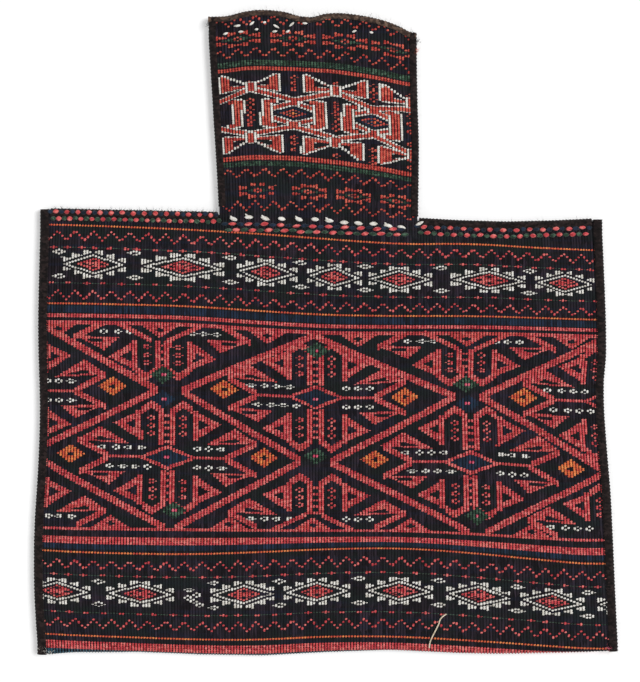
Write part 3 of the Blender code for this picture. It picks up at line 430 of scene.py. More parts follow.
# %% Stripes, zigzags and stars
ZIGZAG_STEP = 7.1
UPPER_STARS = ((-182.1, 25.7), (-111.8, 33.2), (-46.6, 24.1), (6.7, 21.7), (58.1, 25.7), (128.4, 30.4),
               (187.6, 23.7))
LOWER_STARS = ((-210.8, 27.3), (-145.4, 27.3), (-64.4, 25.7), (-6.9, 26.9), (58.1, 27.3), (120.2, 26.5),
               (178.1, 24.9), (237, 24))
UPPER_STAR_ROW, LOWER_STAR_ROW = 298.5, 46.6
UPPER_EYES = (-209.7, -149.7, -74.7, -19.8, 31.2, 90.5, 160)
LOWER_EYES = (-178.2, -36.3, 26.1, 88.9, 150.5, 206.2)
STAR_EYE_ROW = 9.3


def stripe(chart, row, width, yarn, left=-240, right=240):
    """Line of one colour along the rows."""
    fill(chart, bar(left, row - width / 2, right, row + width / 2), yarn)


def zigzag(chart, low, high, left, right, yarn, start=0):
    """One-stitch zigzag between two rows."""
    count = int((right - left) / ZIGZAG_STEP)
    line = [(left + i * ZIGZAG_STEP, high if (i + start) % 2 else low) for i in range(count + 1)]
    fill(chart, band(line, STITCH_LINE), yarn)


def dotted(chart, row, spacing):
    """Thin green line with a red lozenge at every spacing, more or less."""
    stripe(chart, row, 0.9, "green")
    for across in np.arange(-215, 225, spacing):
        fill(chart, lozenge(across + rng.uniform(-1.5, 1.5), row, 3.4, 1.2), "madder_red")


def star_lozenge(chart, across, row, half_width, teeth=3):
    """White outlined lozenge with flag-like teeth outside it and four red eyes within."""
    pitch = (half_width + 1) / teeth
    for i in range(teeth):
        inner, outer = i * pitch + 0.3, (i + 0.84) * pitch
        base = [8.9 * (1 - place / (half_width + 4)) for place in (inner, outer)]
        for flip_x in (-1, 1):
            for flip_y in (-1, 1):
                flag = [(inner, base[0]), (outer, base[1]), (outer, base[1] + 4.3), (inner, base[0] + 1.0)]
                fill(chart, moved(flag, across, row, flip_x, flip_y), "white")
    fill(chart, lozenge(across, row, half_width - 1, 8.3), "ground")
    fill(chart, lozenge(across, row, half_width - 1.4, 7.8), "white")
    fill(chart, lozenge(across, row, half_width * 0.78, 6.1), "ground")
    for step_x, step_y in ((0, 1), (0, -1), (1, 0), (-1, 0)):
        place = (across + step_x * half_width * 0.27, row + step_y * 2.6)
        ring(chart, *place, "madder_red", half_width * 0.255, 2.1)


# %% [markdown]
# The bands are laid out kind by kind, each from the top down. Heights are counted from the fold,
# and the stars stand where the weaver put them, not at an even pitch.

# %% Bands of the body
body = make_chart(range(ALL_RIBS), -10, 352, DRIFT_PLACES, DRIFT_ROWS, rib_x)
for height, width in ((264.6, 5.4), (83.2, 3.6)):
    stripe(body, height, width, "navy")
for height in (327.8, 268.8, 79, 11.4):
    stripe(body, height, 1.9, "orange")
for height, spacing in ((310.9, 11.5), (284.2, 13.4), (60.6, 13), (30.2, 13.4)):
    dotted(body, height, spacing)
for lowest, highest in ((316.5, 323.6), (271.8, 278.6), (65.5, 72.6), (17.8, 25.2)):
    zigzag(body, lowest, highest, -232, 236, "madder_red")
for place, half in UPPER_STARS:
    star_lozenge(body, place, UPPER_STAR_ROW, half)
for place, half in LOWER_STARS:
    star_lozenge(body, place, LOWER_STAR_ROW, half)
for places, height in ((UPPER_EYES, UPPER_STAR_ROW), (LOWER_EYES, LOWER_STAR_ROW)):
    for place in places:
        for side in (-1, 1):
            ring(body, place, height + side * STAR_EYE_ROW, "white", 6.4, 1.9)
for across, above in ((-107, 4), (-101, 0), (-108, -2.2), (-104, -5), (-99, -8), (-88, 9.5), (-88, -10)):
    ring(body, across, LOWER_STAR_ROW + above, "white", 4.5, 1.7)
stripe(body, 259.8, 3.4, "madder_red")
stripe(body, 87.7, 5, "madder_red")
stripe(body, 3.6, 6.6, "madder_red")
stripe(body, -5, 10.4, "teal")
print("stitches in the bands:", int((body["yarn"] > 0).sum() * ROW / BEAD))

# %% [markdown]
# ### Main field
# Tall lozenges with hooks, ladders and eyelets, cut into by a red lattice. One tile is drawn once
# and mirrored, then set out in rows that step by half a tile.

# %% Places in the field
FIELD_TOP, FIELD_BOTTOM = 254.4, 95.6
FIRST_ROW, SECOND_ROW = 203, 151.7
LATTICE = (
    ((-222, 252), (-132, 204), (-234, 153), (-126, 97)),
    ((-9, 252), (-113, 203.5), (-18.6, 151.5), (-119, 96.5)),
    ((-9, 252), (101.5, 203), (2.8, 151), (112.6, 97)),
    ((213, 250), (121.3, 203), (221, 151.5), (125.2, 97)),
)
TILES = (
    (-242, FIRST_ROW, (1, -1)), (-7.5, FIRST_ROW, (1, -1)), (224.7, FIRST_ROW, (1, -1)),
    (-124, SECOND_ROW, (1, -1)), (114, SECOND_ROW, (1, -1)),
    (-128, FIELD_TOP + 1, (-1,)), (110, FIELD_TOP + 1, (-1,)),
    (-242, FIELD_BOTTOM + 2, (1,)), (-7.5, FIELD_BOTTOM + 2, (1,)), (228, FIELD_BOTTOM + 2, (1,)),
)
EDGE_TRIANGLES = ((-210, 1), (-130, 1), (-46, 1), (25.7, 1), (111, 1), (193, 1),
                  (-168.7, -1), (-76, -1), (-9.9, -1), (66.8, -1), (161.6, -1))
ROOFED = (-130, 111, -9.9)
ORANGE_LOZENGES = ((-167, 206.5), (-200, 153), (-79.4, 206), (62.4, 203.5), (-48.2, 153.5),
                   (38.7, 153.5), (155.2, 204), (192.4, 152.5))
GREEN_FLOWERS = ((-127.6, 215.5), (-119, 110.5), (-6.7, 240), (-7.5, 155.5), (110.2, 213), (119, 110))
BLUE_FLOWERS = ((-127.6, 197), (-8.3, 201.5), (111.8, 197.5))

# %% [markdown]
# The tile's shapes are drawn round its middle, in mm, for the left half only, and mirrored. The
# upper and the lower hooks differ on the real bag, and so they do here.

# %% Tile of the field
UPPER_HOOK = ((-71, 12.8), (-52.8, 23.7), (-29.5, 10.4), (-46, 11))
UPPER_NOTCH = ((-57, 13.2), (-54, 16), (-38.5, 12.4), (-46, 12.6))
LOWER_HOOK = ((-71, 11), (-33.5, 11.4), (-45.8, 21.8), (-58, 15.5))
LOWER_NOTCH = ((-59, 13), (-46, 13.2), (-47, 15.2), (-57, 15))
ARM = ((-70, 12.6), (-46, 0.6))
ARCH = ((-4.2, 36), (-12.6, 41.5), (-21, 36))
WING = ((-22, 36), (-42.7, 26.6), (-22, 14))
WING_HOLE = ((-24.9, 29.6), (-33, 26), (-24.9, 22))
FAR_EYES, NEAR_EYES = (-51, -40, -30.7, -20.9), (23.7, 32.4, 42.3)


def tile(chart, across, row, sides):
    """Hooked lozenge of the main field: sides says which halves show, 1 above and -1 below."""
    for flip_y in sides:
        for flip_x in (-1, 1):
            def put(points, yarn="madder_red"):
                fill(chart, moved(points, across, row, flip_x, flip_y), yarn)

            put(list(UPPER_HOOK if flip_y > 0 else LOWER_HOOK))
            put(list(UPPER_NOTCH if flip_y > 0 else LOWER_NOTCH), "ground")
            put(band(ARM, 5))
            put(list(WING))
            put(list(WING_HOLE), "ground")
            put(bar(-24.4, 13.4, -19.8, 37))
            put(band(ARCH, 6))
            put(bar(-6.6, 9.6, -1.9, 38))
            for step in range(5):
                put(bar(-2.4, 11.4 + step * 5, 0, 13.6 + step * 5))
            for step, height in enumerate((30.7, 24.8, 18.6)):
                ring(chart, across + flip_x * 12.4, row + flip_y * height, "madder_red", 3.7, 2.2)
        eyes = FAR_EYES + NEAR_EYES if flip_y > 0 else tuple(place + 5 for place in FAR_EYES) + NEAR_EYES
        for place in eyes:
            ring(chart, across + place, row + flip_y * 7.4, "white", 4.1, 1.75)
    if len(sides) == 2:
        fill(chart, bar(across - 46, row - 1.2, across + 46, row + 1.2), "madder_red")
        fill(chart, lozenge(across, row, 23.5, 9.9), "madder_red")
        fill(chart, lozenge(across, row, 17.4, 6.6), "navy")
        fill(chart, bar(across - 2.2, row - 1.1, across + 2.2, row + 1.1), "pink")


# %% [markdown]
# Now the field is filled. What lies on top on the bag is drawn last: the tiles first, then the
# lattice that cuts across them, the triangles at both ends, and the small lozenges and flowers.

# %% Main field
for across, height, sides in TILES:
    tile(body, across, height, sides)
fill(body, bar(-240, FIELD_TOP, 240, FIELD_TOP + 3.8), "ground")
fill(body, bar(-240, FIELD_BOTTOM - 3.6, 240, FIELD_BOTTOM), "ground")
for line in LATTICE:
    for piece in zip(line, line[1:]):
        fill(body, band(piece, 5.8), "madder_red")
for across, way in EDGE_TRIANGLES:
    base = FIELD_TOP if way > 0 else FIELD_BOTTOM
    if across in ROOFED:
        roof = [(across - 33, base), (across - 6, base - way * 13), (across + 6, base - way * 13),
                (across + 33, base)]
        fill(body, roof, "ground")
        fill(body, band(roof[:2], 4), "madder_red")
        fill(body, band(roof[2:], 4), "madder_red")
    fill(body, [(across - 17, base), (across + 17, base), (across, base - way * 11)], "madder_red")
    fill(body, lozenge(across, base - way * 4.6, 3.6, 2), "ground")
for across, height in ORANGE_LOZENGES:
    fill(body, lozenge(across, height, 11.4, 7.6), "orange")
    fill(body, lozenge(across, height, 2.6, 1.9), "ground")
for across, height in GREEN_FLOWERS:
    fill(body, lozenge(across, height, 10, 7), "green")
    fill(body, bar(across - 2.2, height - 1.1, across + 2.2, height + 1.1), "pink")
for across, height in BLUE_FLOWERS:
    fill(body, lozenge(across, height, 10, 7), "navy")
    fill(body, bar(across - 2.2, height - 1.1, across + 2.2, height + 1.1), "pink")
stripe(body, FIELD_TOP, 2.4, "madder_red")
stripe(body, FIELD_BOTTOM, 2.4, "madder_red")
stripe(body, 259.8, 3.4, "madder_red")
print("stitches in the body:", int((body["yarn"] > 0).sum() * ROW / BEAD))

# %% [markdown]
# ### Neck
# Two rows of green-centred stars between zigzags, and a panel of red zigzags edged in white, with
# hooked bars, pennants and narrow eyed lozenges.

# %% Neck bands
NECK_UPPER_STARS, NECK_LOWER_STARS = (-69.1, -25.7, 15.4, 52.5), (-53.3, -13.4, 22.4, 55.7)


def neck_star(chart, across, row, half_width, half_height):
    """Cross of red flags round a green centre with a small red eye."""
    for flip_x in (-1, 1):
        for flip_y in (-1, 1):
            near = (0.5, half_width * 0.48, half_height)
            far = (half_width * 0.52, half_width, half_height * 0.62)
            for inner, outer, rise in (near, far):
                low = rise - 3.1
                flag = [(inner, low + 0.9), (outer, low - 0.2), (outer, rise + 0.3), (inner, rise - 0.9)]
                fill(chart, moved(flag, across, row, flip_x, flip_y), "neck_red")
    fill(chart, lozenge(across, row, half_width * 0.75, half_height * 0.36), "green")
    ring(chart, across, row, "neck_red", 4.5, 1.7)


neck = make_chart(range(NECK_START, NECK_END), 338, 506, NECK_DRIFT_PLACES, NECK_DRIFT_ROWS, rib_x)
NECK_ZIGZAGS = ((491.1, 498.2, 0), (465.3, 472.6, 0), (371.5, 377.8, 1), (346.3, 353.3, 0))
for lowest, highest, start in NECK_ZIGZAGS:
    zigzag(neck, lowest, highest, -90.4, 76, "neck_red", start)
for across in NECK_UPPER_STARS:
    neck_star(neck, across, 480.3, 17.4, 6.2)
for across in NECK_LOWER_STARS:
    neck_star(neck, across, 361.2, 13.9, 6)
for height, width, yarn in ((460.6, 4, "green"), (456.2, 3.4, "neck_red"), (385.8, 3.6, "neck_red"),
                            (381.4, 3.6, "green")):
    stripe(neck, height, width, yarn, -100, 90)

# %% [markdown]
# The neck's panel is the finest work on the bag. Two zigzags cross it from side to side, and
# pennants, hooked bars and eyed lozenges hang on their turns, all outlined in white.

# %% Neck panel
UPPER_TURNS = ((-95, 430), (-83.3, 432), (-58.9, 439.8), (-24.9, 431.6), (8.3, 439.8), (37.5, 431.6),
               (60, 436), (78, 436))
LOWER_TURNS = ((-95, 411), (-83.3, 410.6), (-58.9, 404.3), (-24.9, 411), (8.3, 404.3), (37.5, 411),
               (67.5, 402), (78, 402))
HOOKED_BARS = ((-68.7, 1), (-46.1, -1), (-4.3, 1), (17.6, -1), (55, 1))
PANEL_ROW = 421.3
CROSSINGS = (-58.9, 8.3)
LENSES = (-24.9, 37.5)
UPPER_PENNANTS = ((-82, 1), (-37.5, -1), (-16.2, 1), (31.2, -1), (44.6, 1))
LOWER_PENNANTS = ((-79, 1), (-35.5, -1), (-17, 1), (27.5, -1), (43.5, 1))
EYE_COLUMNS = ((-58.9, (444.5, 431, 427.3, 423.4, 419.4, 415.5, 412, 398.5)),
               (-24.9, (449.5, 445, 440.5, 402.5, 398, 393)),
               (8.3, (446.5, 431, 427.3, 423.4, 419.4, 415.5, 412, 391)),
               (37.5, (449, 444, 439, 399.5, 394.5, 390)),
               (66.5, (447, 441, 431, 425, 419, 409, 397, 391)))


def edged(chart, points, edge=1.1):
    """Red shape with a white outline, drawn by moving the same shape in white all round."""
    for turn in range(8):
        across, up = edge * math.cos(turn * math.pi / 4), edge * math.sin(turn * math.pi / 4)
        fill(chart, [(x + across * RIB_PITCH, y + up) for x, y in points], "white")
    fill(chart, points, "neck_red")


def pennant(chart, edge_x, middle_row, way, node_x, node_row):
    """Flag from a node of the zigzag to a tall outer edge, with a dark hooked hole in it."""
    outer = [(edge_x, middle_row + 6.6), (edge_x, middle_row - 6.6), (node_x, node_row)]
    edged(chart, outer)
    hole = [(edge_x + way * 7.5, middle_row + 2.6), (edge_x + way * 7.5, middle_row - 1.9),
            (node_x - way * 3, node_row - (node_row - middle_row) * 0.25)]
    (x, top), (_, low), tip = hole
    fill(chart, [(x, top + 0.6), (x, low - 0.6), tip], "white")
    fill(chart, hole, "ground")


for edge_x, way in UPPER_PENNANTS:
    node = min(CROSSINGS + (67.5,), key=lambda c: abs(c - edge_x - way * 20))
    pennant(neck, edge_x, 445.6, way, node, 441.5)
for edge_x, way in LOWER_PENNANTS:
    node = min(CROSSINGS + (67.5,), key=lambda c: abs(c - edge_x - way * 20))
    pennant(neck, edge_x, 396.8, way, node, 401)
for across in LENSES:
    for way in (-1, 1):
        arm = [(across, PANEL_ROW + 8.4 * way), (across + 17, PANEL_ROW + 3.6 * way)]
        other = [(across, PANEL_ROW + 8.4 * way), (across - 17, PANEL_ROW + 3.6 * way)]
        for line in (arm, other):
            fill(neck, band(line, 5.2), "white")
    for way in (-1, 1):
        for side in (-1, 1):
            arm = [(across, PANEL_ROW + 8.4 * way), (across + 18 * side, PANEL_ROW + 3.4 * way)]
            fill(neck, band(arm, 2.7), "neck_red")
    fill(neck, bar(across - 5.2, PANEL_ROW - 12, across + 5.2, PANEL_ROW - 6.5), "white")
    fill(neck, bar(across - 5.2, PANEL_ROW + 6.5, across + 5.2, PANEL_ROW + 12), "white")
for turns in (UPPER_TURNS, LOWER_TURNS):
    fill(neck, band(turns, 5.1), "white")
for turns in (UPPER_TURNS, LOWER_TURNS):
    fill(neck, band(turns, 2.8), "neck_red")
for across in LENSES:
    for way in (-1, 1):
        low = PANEL_ROW + (6.5 if way > 0 else -12)
        fill(neck, bar(across - 3.4, low, across + 3.4, low + 5.5), "neck_red")
    fill(neck, lozenge(across, PANEL_ROW, 14.5, 5.2), "navy")
    fill(neck, lozenge(across, PANEL_ROW, 11, 3.4), "neck_red")
    fill(neck, lozenge(across, PANEL_ROW, 6.5, 2), "navy")
    fill(neck, lozenge(across, PANEL_ROW, 3.4, 1.2), "orange")
for across, way in HOOKED_BARS:
    edged(neck, bar(across - 2.9, PANEL_ROW - 10.4, across + 2.9, PANEL_ROW + 10.4))
    for side in (-1, 1):
        hook = bar(across - 2.9, PANEL_ROW + side * 9.4 - 1.5, across + 2.9, PANEL_ROW + side * 9.4 + 1.5)
        hook = [(x - way * 4.6, y) for x, y in hook]
        fill(neck, [(x - way * 1.6, y) for x, y in hook], "white")
        fill(neck, hook, "neck_red")
for across, heights in EYE_COLUMNS:
    for height in heights:
        ring(neck, across, height, "neck_red", 3.4, 1.9)
for across in CROSSINGS + (67.5,):
    for height in (441.5, 401.5):
        edged(neck, bar(across - 2.6, height - 3.6, across + 2.6, height + 3.6), 0.9)

for name, chart in (("body", body), ("neck", neck)):
    counts = np.bincount(chart["yarn"].ravel(), minlength=len(YARNS))
    print(name, "stitches by yarn:", dict(zip(YARNS, (counts * ROW / BEAD).astype(int).tolist())))

# %% [markdown]
# ## Stitches in yarn
# Along each rib the chart becomes runs of one yarn, and a run becomes a chain of beads: narrow
# where one wrap meets the next and full in the middle. Ground runs are lower and longer, so the
# brocade stands proud of them as it does on the loom. Each yarn is one mesh.

# %% Sizes of the stitches
GROUND_STEP = 3.1
FLAT_YARNS = ("ground", "navy", "teal")
# Heights in mm over the cloth: of full stitches, and of the furrow between two ribs
BROCADE_RISE, GROUND_RISE = 0.95, 0.62
VALLEY = -0.15
WAIST_RISE = 0.35
HALF_RIB, HALF_WAIST = 0.47, 0.36
print("stitch in mm:", RIB_PITCH, "by", BEAD, "and", BROCADE_RISE, "high")

# %% [markdown]
# Tens of thousands of stitches as objects would choke Blender. Points and faces are gathered in
# plain lists instead, and each yarn becomes one object at the end.

# %% Gathering meshes
class Mesh:
    """Points and faces gathered before they become one Blender mesh."""

    def __init__(self):
        self.points, self.faces, self.count = [], [], 0

    def add(self, points, faces):
        self.points.append(np.asarray(points, float))
        self.faces.extend([tuple(i + self.count for i in face) for face in faces])
        self.count += len(points)


def make_object(name, gathered, material, sharp=75):
    """Turns gathered points in mm into an object that rides on the bag."""
    data = bpy.data.meshes.new(name)
    data.from_pydata((np.concatenate(gathered.points) * MM).tolist(), [], gathered.faces)
    data.materials.append(material)
    data.shade_smooth()
    data.set_sharp_from_angle(angle=math.radians(sharp))
    made = bpy.data.objects.new(name, data)
    bpy.context.scene.collection.objects.link(made)
    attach(made, "root")
    print(name, "faces:", len(data.polygons))
    return made


# %% [markdown]
# A chain has three points across: a furrow on each side and a crest between. The crest rises and
# falls along the rib, which costs few faces and still catches the light like a wrapped thread.

# %% Rib chains
def runs(values):
    """Start and end of each stretch of equal values."""
    breaks = np.flatnonzero(np.diff(values)) + 1
    return zip(np.r_[0, breaks], np.r_[breaks, len(values)])


def chain(gathered, rib, start, end, pitch, rise, waist):
    """Chain of beads along one rib from one place of the strip to another."""
    beads = max(1, round((end - start) / pitch))
    place = np.linspace(start, end, 2 * beads + 1 if waist else beads + 1)
    full = np.ones(len(place))
    if waist:
        full[::2] = WAIST_RISE
    full *= rng.uniform(0.88, 1.08, len(place))
    x = rib_x(rib, np.maximum(place, FOLD_LEVEL))
    for _ in range(2):
        y, z, out_y, out_z = strip(x, place)
        x = rib_x(rib, y)
    half = (rib_x(rib + 0.5, y) - rib_x(rib - 0.5, y)) * np.where(full < 0.6, HALF_WAIST, HALF_RIB)
    rows = []
    for across, lift in ((x - half, VALLEY), (x, full * rise), (x + half, VALLEY)):
        rows.append(np.stack([across, y + out_y * lift, z + out_z * lift], -1))
    points = np.stack(rows, 1).reshape(-1, 3)
    faces = []
    for i in range(len(place) - 1):
        a, b = 3 * i, 3 * i + 3
        faces += [(a, a + 1, b + 1, b), (a + 1, a + 2, b + 2, b + 1), (a, b, b + 2, a + 2)]
    last = 3 * (len(place) - 1)
    faces += [(0, 2, 1), (last, last + 1, last + 2)]
    gathered.add(points, faces)


LOWEST_PLACE, EDGE_MARGIN = -262, 1.5


def limits(rib):
    """Lowest and highest place of a rib on the front, inside the overcast edges."""
    in_neck = NECK_START < rib < NECK_END
    x = float(rib_x(rib, 230 if in_neck else 60))
    table = mouth_front if in_neck else shoulder_top
    return LOWEST_PLACE, float(np.interp(x, COLUMNS, table)) - EDGE_MARGIN


chains = {yarn: Mesh() for yarn in YARNS[1:] + ["ground_left", "ground_right", "ground_back"]}
for chart in (body, neck):
    for column, rib in enumerate(chart["rib"]):
        low, high = limits(rib)
        in_neck = NECK_START < rib < NECK_END
        if in_neck:
            foot = float(foot_line(rib_x(rib, 90)))
            low, high = (foot, high) if chart is neck else (low, foot)
        for first, last in runs(chart["yarn"][column]):
            yarn = YARNS[chart["yarn"][column, first]]
            start = chart["place"][column, first] - ROW / 2
            end = chart["place"][column, last - 1] + ROW / 2
            start, end = max(start, low), min(end, high)
            if end - start < ROW / 2:
                continue
            if yarn in FLAT_YARNS:
                side = "ground_left" if rib < ALL_RIBS / 2 else "ground_right"
                gathered = chains[side if yarn == "ground" else yarn]
                chain(gathered, rib, start, end, GROUND_STEP, GROUND_RISE, False)
            else:
                chain(chains[yarn], rib, start, end, BEAD, BROCADE_RISE, True)
print("chains gathered:", {yarn: len(mesh.faces) for yarn, mesh in chains.items()})

# %% [markdown]
# ## Wool
# All the yarns are hand-spun sheep's wool, dyed in small lots: madder for the reds, indigo for the
# blues, indigo over a yellow dye for the greens, and natural white. Wool is matt, with a slight
# bloom of fibres along its edges. Uneven spinning and dyeing make each stitch a little lighter or
# darker, and each row a little different from the next. Both are drawn from noise at real sizes.

# %% Colours and nodes
def linear(code):
    """sRGB hex to linear red, green, blue and alpha."""
    parts = [int(code[i:i + 2], 16) / 255 for i in (1, 3, 5)]
    return tuple(p / 12.92 if p <= 0.04045 else ((p + 0.055) / 1.055) ** 2.4 for p in parts) + (1.0,)


def add(tree, kind, inputs=None, **settings):
    """Adds a node with its settings, and gives its inputs values or links."""
    made = tree.nodes.new(kind)
    for name, value in settings.items():
        setattr(made, name, value)
    for name, value in (inputs or {}).items():
        if isinstance(value, bpy.types.NodeSocket):
            tree.links.new(value, made.inputs[name])
        else:
            made.inputs[name].default_value = value
    return made


# %% [markdown]
# A stitch takes its shade from a cell pattern as large as a stitch, so neighbours differ as
# hand-dyed yarn does. Slow noise along the rows leans some of them to another dye lot.

# %% Dyed wool
# Sizes of the patterns: one stitch, a streak along a rib, a row and a patch of another dye lot.
# Single fibres are 0.03 mm thick, and are drawn at 0.4 mm so that they show at all.
STITCH_SIZE = (2.3 * MM, 1.6 * MM, 30 * MM)
STREAK_SIZE = (2.3 * MM, 14 * MM, 30 * MM)
ROW_SIZE = (90 * MM, 3.5 * MM, 90 * MM)
PATCH_SIZE = (30 * MM, 12 * MM, 60 * MM)
FIBRE = 0.4 * MM
WOOL_ROUGHNESS, WOOL_IOR, WOOL_SPECULAR = 0.95, 1.54, 0.15
SHEEN_ROUGHNESS = 0.6
FIBRE_RELIEF = 0.15 * MM


def wool(name, dark, main, light, other, other_share=0.25, hairiness=0.2, grain=STITCH_SIZE, patch=None):
    """Dyed wool: stitches vary from dark to light, and some rows or patches lean to other dye lots."""
    material = bpy.data.materials.new(name)
    material.use_nodes = True
    tree = material.node_tree
    shader = tree.nodes["Principled BSDF"]
    shader.inputs["Roughness"].default_value = WOOL_ROUGHNESS
    shader.inputs["Metallic"].default_value = 0
    shader.inputs["IOR"].default_value = WOOL_IOR
    shader.inputs["Specular IOR Level"].default_value = WOOL_SPECULAR
    shader.inputs["Sheen Weight"].default_value = hairiness
    shader.inputs["Sheen Roughness"].default_value = SHEEN_ROUGHNESS
    place = add(tree, "ShaderNodeTexCoord").outputs["Object"]
    cell = add(tree, "ShaderNodeMapping", {"Vector": place, "Scale": [1 / size for size in grain]})
    row = add(tree, "ShaderNodeMapping", {"Vector": place, "Scale": [1 / size for size in ROW_SIZE]})
    stitch = add(tree, "ShaderNodeTexVoronoi", {"Vector": cell.outputs[0], "Scale": 1.0})
    shade = add(tree, "ShaderNodeSeparateColor", {"Color": stitch.outputs["Color"]})
    ramp = add(tree, "ShaderNodeValToRGB", {"Fac": shade.outputs["Red"]})
    ramp.color_ramp.elements[0].color = linear(dark)
    ramp.color_ramp.elements[1].color = linear(light)
    ramp.color_ramp.elements.new(0.5).color = linear(main)
    lot = add(tree, "ShaderNodeTexNoise", {"Vector": row.outputs[0], "Scale": 1.0, "Detail": 2.0})
    lean = add(tree, "ShaderNodeMapRange", {"Value": lot.outputs["Fac"], "From Min": 0.45, "From Max": 0.75,
                                            "To Min": 0.0, "To Max": other_share})
    dyed = add(tree, "ShaderNodeMixRGB", {"Fac": lean.outputs[0], "Color1": ramp.outputs[0],
                                          "Color2": linear(other)})
    if patch:
        area = add(tree, "ShaderNodeMapping", {"Vector": place, "Scale": [1 / size for size in PATCH_SIZE]})
        spread = add(tree, "ShaderNodeTexNoise", {"Vector": area.outputs[0], "Scale": 1.0, "Detail": 3.0})
        amount = add(tree, "ShaderNodeMapRange", {"Value": spread.outputs["Fac"], "From Min": 0.45,
                                                  "From Max": 0.62, "To Min": 0.0, "To Max": 0.75})
        dyed = add(tree, "ShaderNodeMixRGB", {"Fac": amount.outputs[0], "Color1": dyed.outputs[0],
                                              "Color2": linear(patch)})
    fibres = add(tree, "ShaderNodeTexNoise", {"Vector": place, "Scale": 1 / FIBRE, "Detail": 3.0})
    # Painted fibre shading: the noise that raises the fibres also darkens the colour in their low places and
    # lightens it on their tops.
    shadow = add(tree, "ShaderNodeMapRange", {"Value": fibres.outputs["Fac"], "From Min": 0.3,
                                              "From Max": 0.7, "To Min": 0.8, "To Max": 1.1})
    final = add(tree, "ShaderNodeMixRGB", {"Fac": 1.0, "Color1": dyed.outputs[0],
                                           "Color2": shadow.outputs[0]}, blend_type="MULTIPLY")
    tree.links.new(final.outputs[0], shader.inputs["Base Color"])
    relief = add(tree, "ShaderNodeBump", {"Height": fibres.outputs["Fac"], "Strength": 0.6,
                                          "Distance": FIBRE_RELIEF})
    tree.links.new(relief.outputs[0], shader.inputs["Normal"])
    return material


# %% [markdown]
# Each yarn has a dark, a middle and a light shade, and the shade of its other dye lot. They were
# judged against the photograph, in plain light.

# %% The yarns
# Each is hand-spun and matt. The line above a yarn says what it gives the eye.
MATERIALS = {
    # Nearly black ribs, with violet, blue and green streaks where the indigo took unevenly
    "ground": wool("indigo_black_wool", "#100c10", "#1f181e", "#342a35", "#18233a", 0.5, 0.06, STREAK_SIZE,
                   "#17201d"),
    # Warm red of the field, from crimson to salmon where light and wear have bleached it
    "madder_red": wool("madder_wool", "#a62a35", "#d64b52", "#f0857e", "#d2553f", 0.4),
    # A browner brick red, used only on the neck
    "neck_red": wool("brick_madder_wool", "#9a2a25", "#c94a3f", "#e2735c", "#c0403f", 0.4),
    # The brightest marks on the bag: undyed wool, a little creamy in the hollows
    "white": wool("undyed_white_wool", "#c9c4b8", "#ebe8e0", "#f8f6f0", "#e2dccd"),
    # Orange faded unevenly towards red, so the thin lines look dotted
    "orange": wool("faded_orange_wool", "#c23f35", "#e06d3c", "#f59a55", "#d9503f", 0.5),
    # Bottle green, dull and speckled with paler stitches
    "green": wool("green_wool", "#15271e", "#28422f", "#52705a", "#1c302e", 0.5),
    # Indigo blue that only just stands off the black ground
    "navy": wool("indigo_wool", "#0f1420", "#182336", "#26364f", "#15303a", 0.6, 0.12, STREAK_SIZE),
    # Clearer blue-green of the back, which shows as a sliver under the fold
    "teal": wool("teal_wool", "#143544", "#1e5061", "#337286", "#1c4060", 0.4),
    # Small cool dots in the middle of the dark flowers
    "pink": wool("rose_wool", "#c03358", "#e0506f", "#f08a98", "#d04060"),
    # Coarse black-brown goat hair, which frames the bag in a dark line
    "goat_hair": wool("goat_hair", "#0b0808", "#1a1313", "#302524", "#241917", 0.5, 0.06),
    # Paler brown goat hair round the mouth, flecked where it is worn by hands
    "rim_hair": wool("brown_goat_hair", "#231815", "#45342c", "#7a6353", "#2b201c", 0.8, 0.12),
    # The weave between and behind the stitches, darkened to the darkest of all: painted shade in the gaps
    # between stitches and ribs, so the ribs stand out
    "base_with_painted_gap_shade": wool("base_weave_painted_gap_shade", "#070608", "#0c0a0e", "#14121a", "#0c1018", 0.5, 0.0),
    # Cream warp yarn, seen only where an end has worked loose
    "warp": wool("cream_warp_wool", "#bfae90", "#ddd0b4", "#efe6d2", "#d8b890"),
}
print("wool materials:", len(MATERIALS))

# %% [markdown]
# ## The cloth under the stitches
# The woven strip itself is one closed sheet with the cloth's real thickness. It goes down the
# front, round the fold and up the back, and gives the stitches something to sit on. Its mesh is a
# grid of ribs by rows, offset inwards for the lining, with the cut edges closed. Its dark weave is
# coloured darker than any yarn, as painted shade where it shows in the gaps between stitches and ribs.

# %% Strip of cloth
RIB_STEP = 2
sheet_ribs = np.arange(0, ALL_RIBS + 1, RIB_STEP)
BODY_STEPS, NECK_STEPS, ROLL_STEPS = 56, 26, 8


def strip_rows():
    """Rows from the back's mouth to the front's: side, each rib's height and whether in the neck."""
    in_neck = (sheet_ribs >= NECK_START) & (sheet_ribs <= NECK_END)
    top_x = rib_x(sheet_ribs, SHOULDER_LEVEL)
    tops = np.where(in_neck, foot_line(top_x), np.interp(top_x, COLUMNS, shoulder_top))
    mouth_x = rib_x(sheet_ribs, MOUTH_LEVEL)
    low_x = rib_x(sheet_ribs, FOLD_LEVEL)
    tangent, radius, _ = roll(low_x)
    rows = []
    for share in np.linspace(1, 0, NECK_STEPS + 1)[:-1]:
        rows.append(("back", tops + (np.interp(mouth_x, COLUMNS, mouth_back) - tops) * share, True))
    for share in np.linspace(1, 0, BODY_STEPS + 1)[:-1]:
        rows.append(("back", tangent + (tops - tangent) * share, False))
    for turn in np.linspace(1, 0, ROLL_STEPS + 1):
        rows.append(("roll", tangent - math.pi * radius * turn, False))
    for share in np.linspace(0, 1, BODY_STEPS + 1)[1:]:
        rows.append(("front", tangent + (tops - tangent) * share, False))
    for share in np.linspace(0, 1, NECK_STEPS + 1)[1:]:
        rows.append(("front", tops + (np.interp(mouth_x, COLUMNS, mouth_front) - tops) * share, True))
    return rows, in_neck


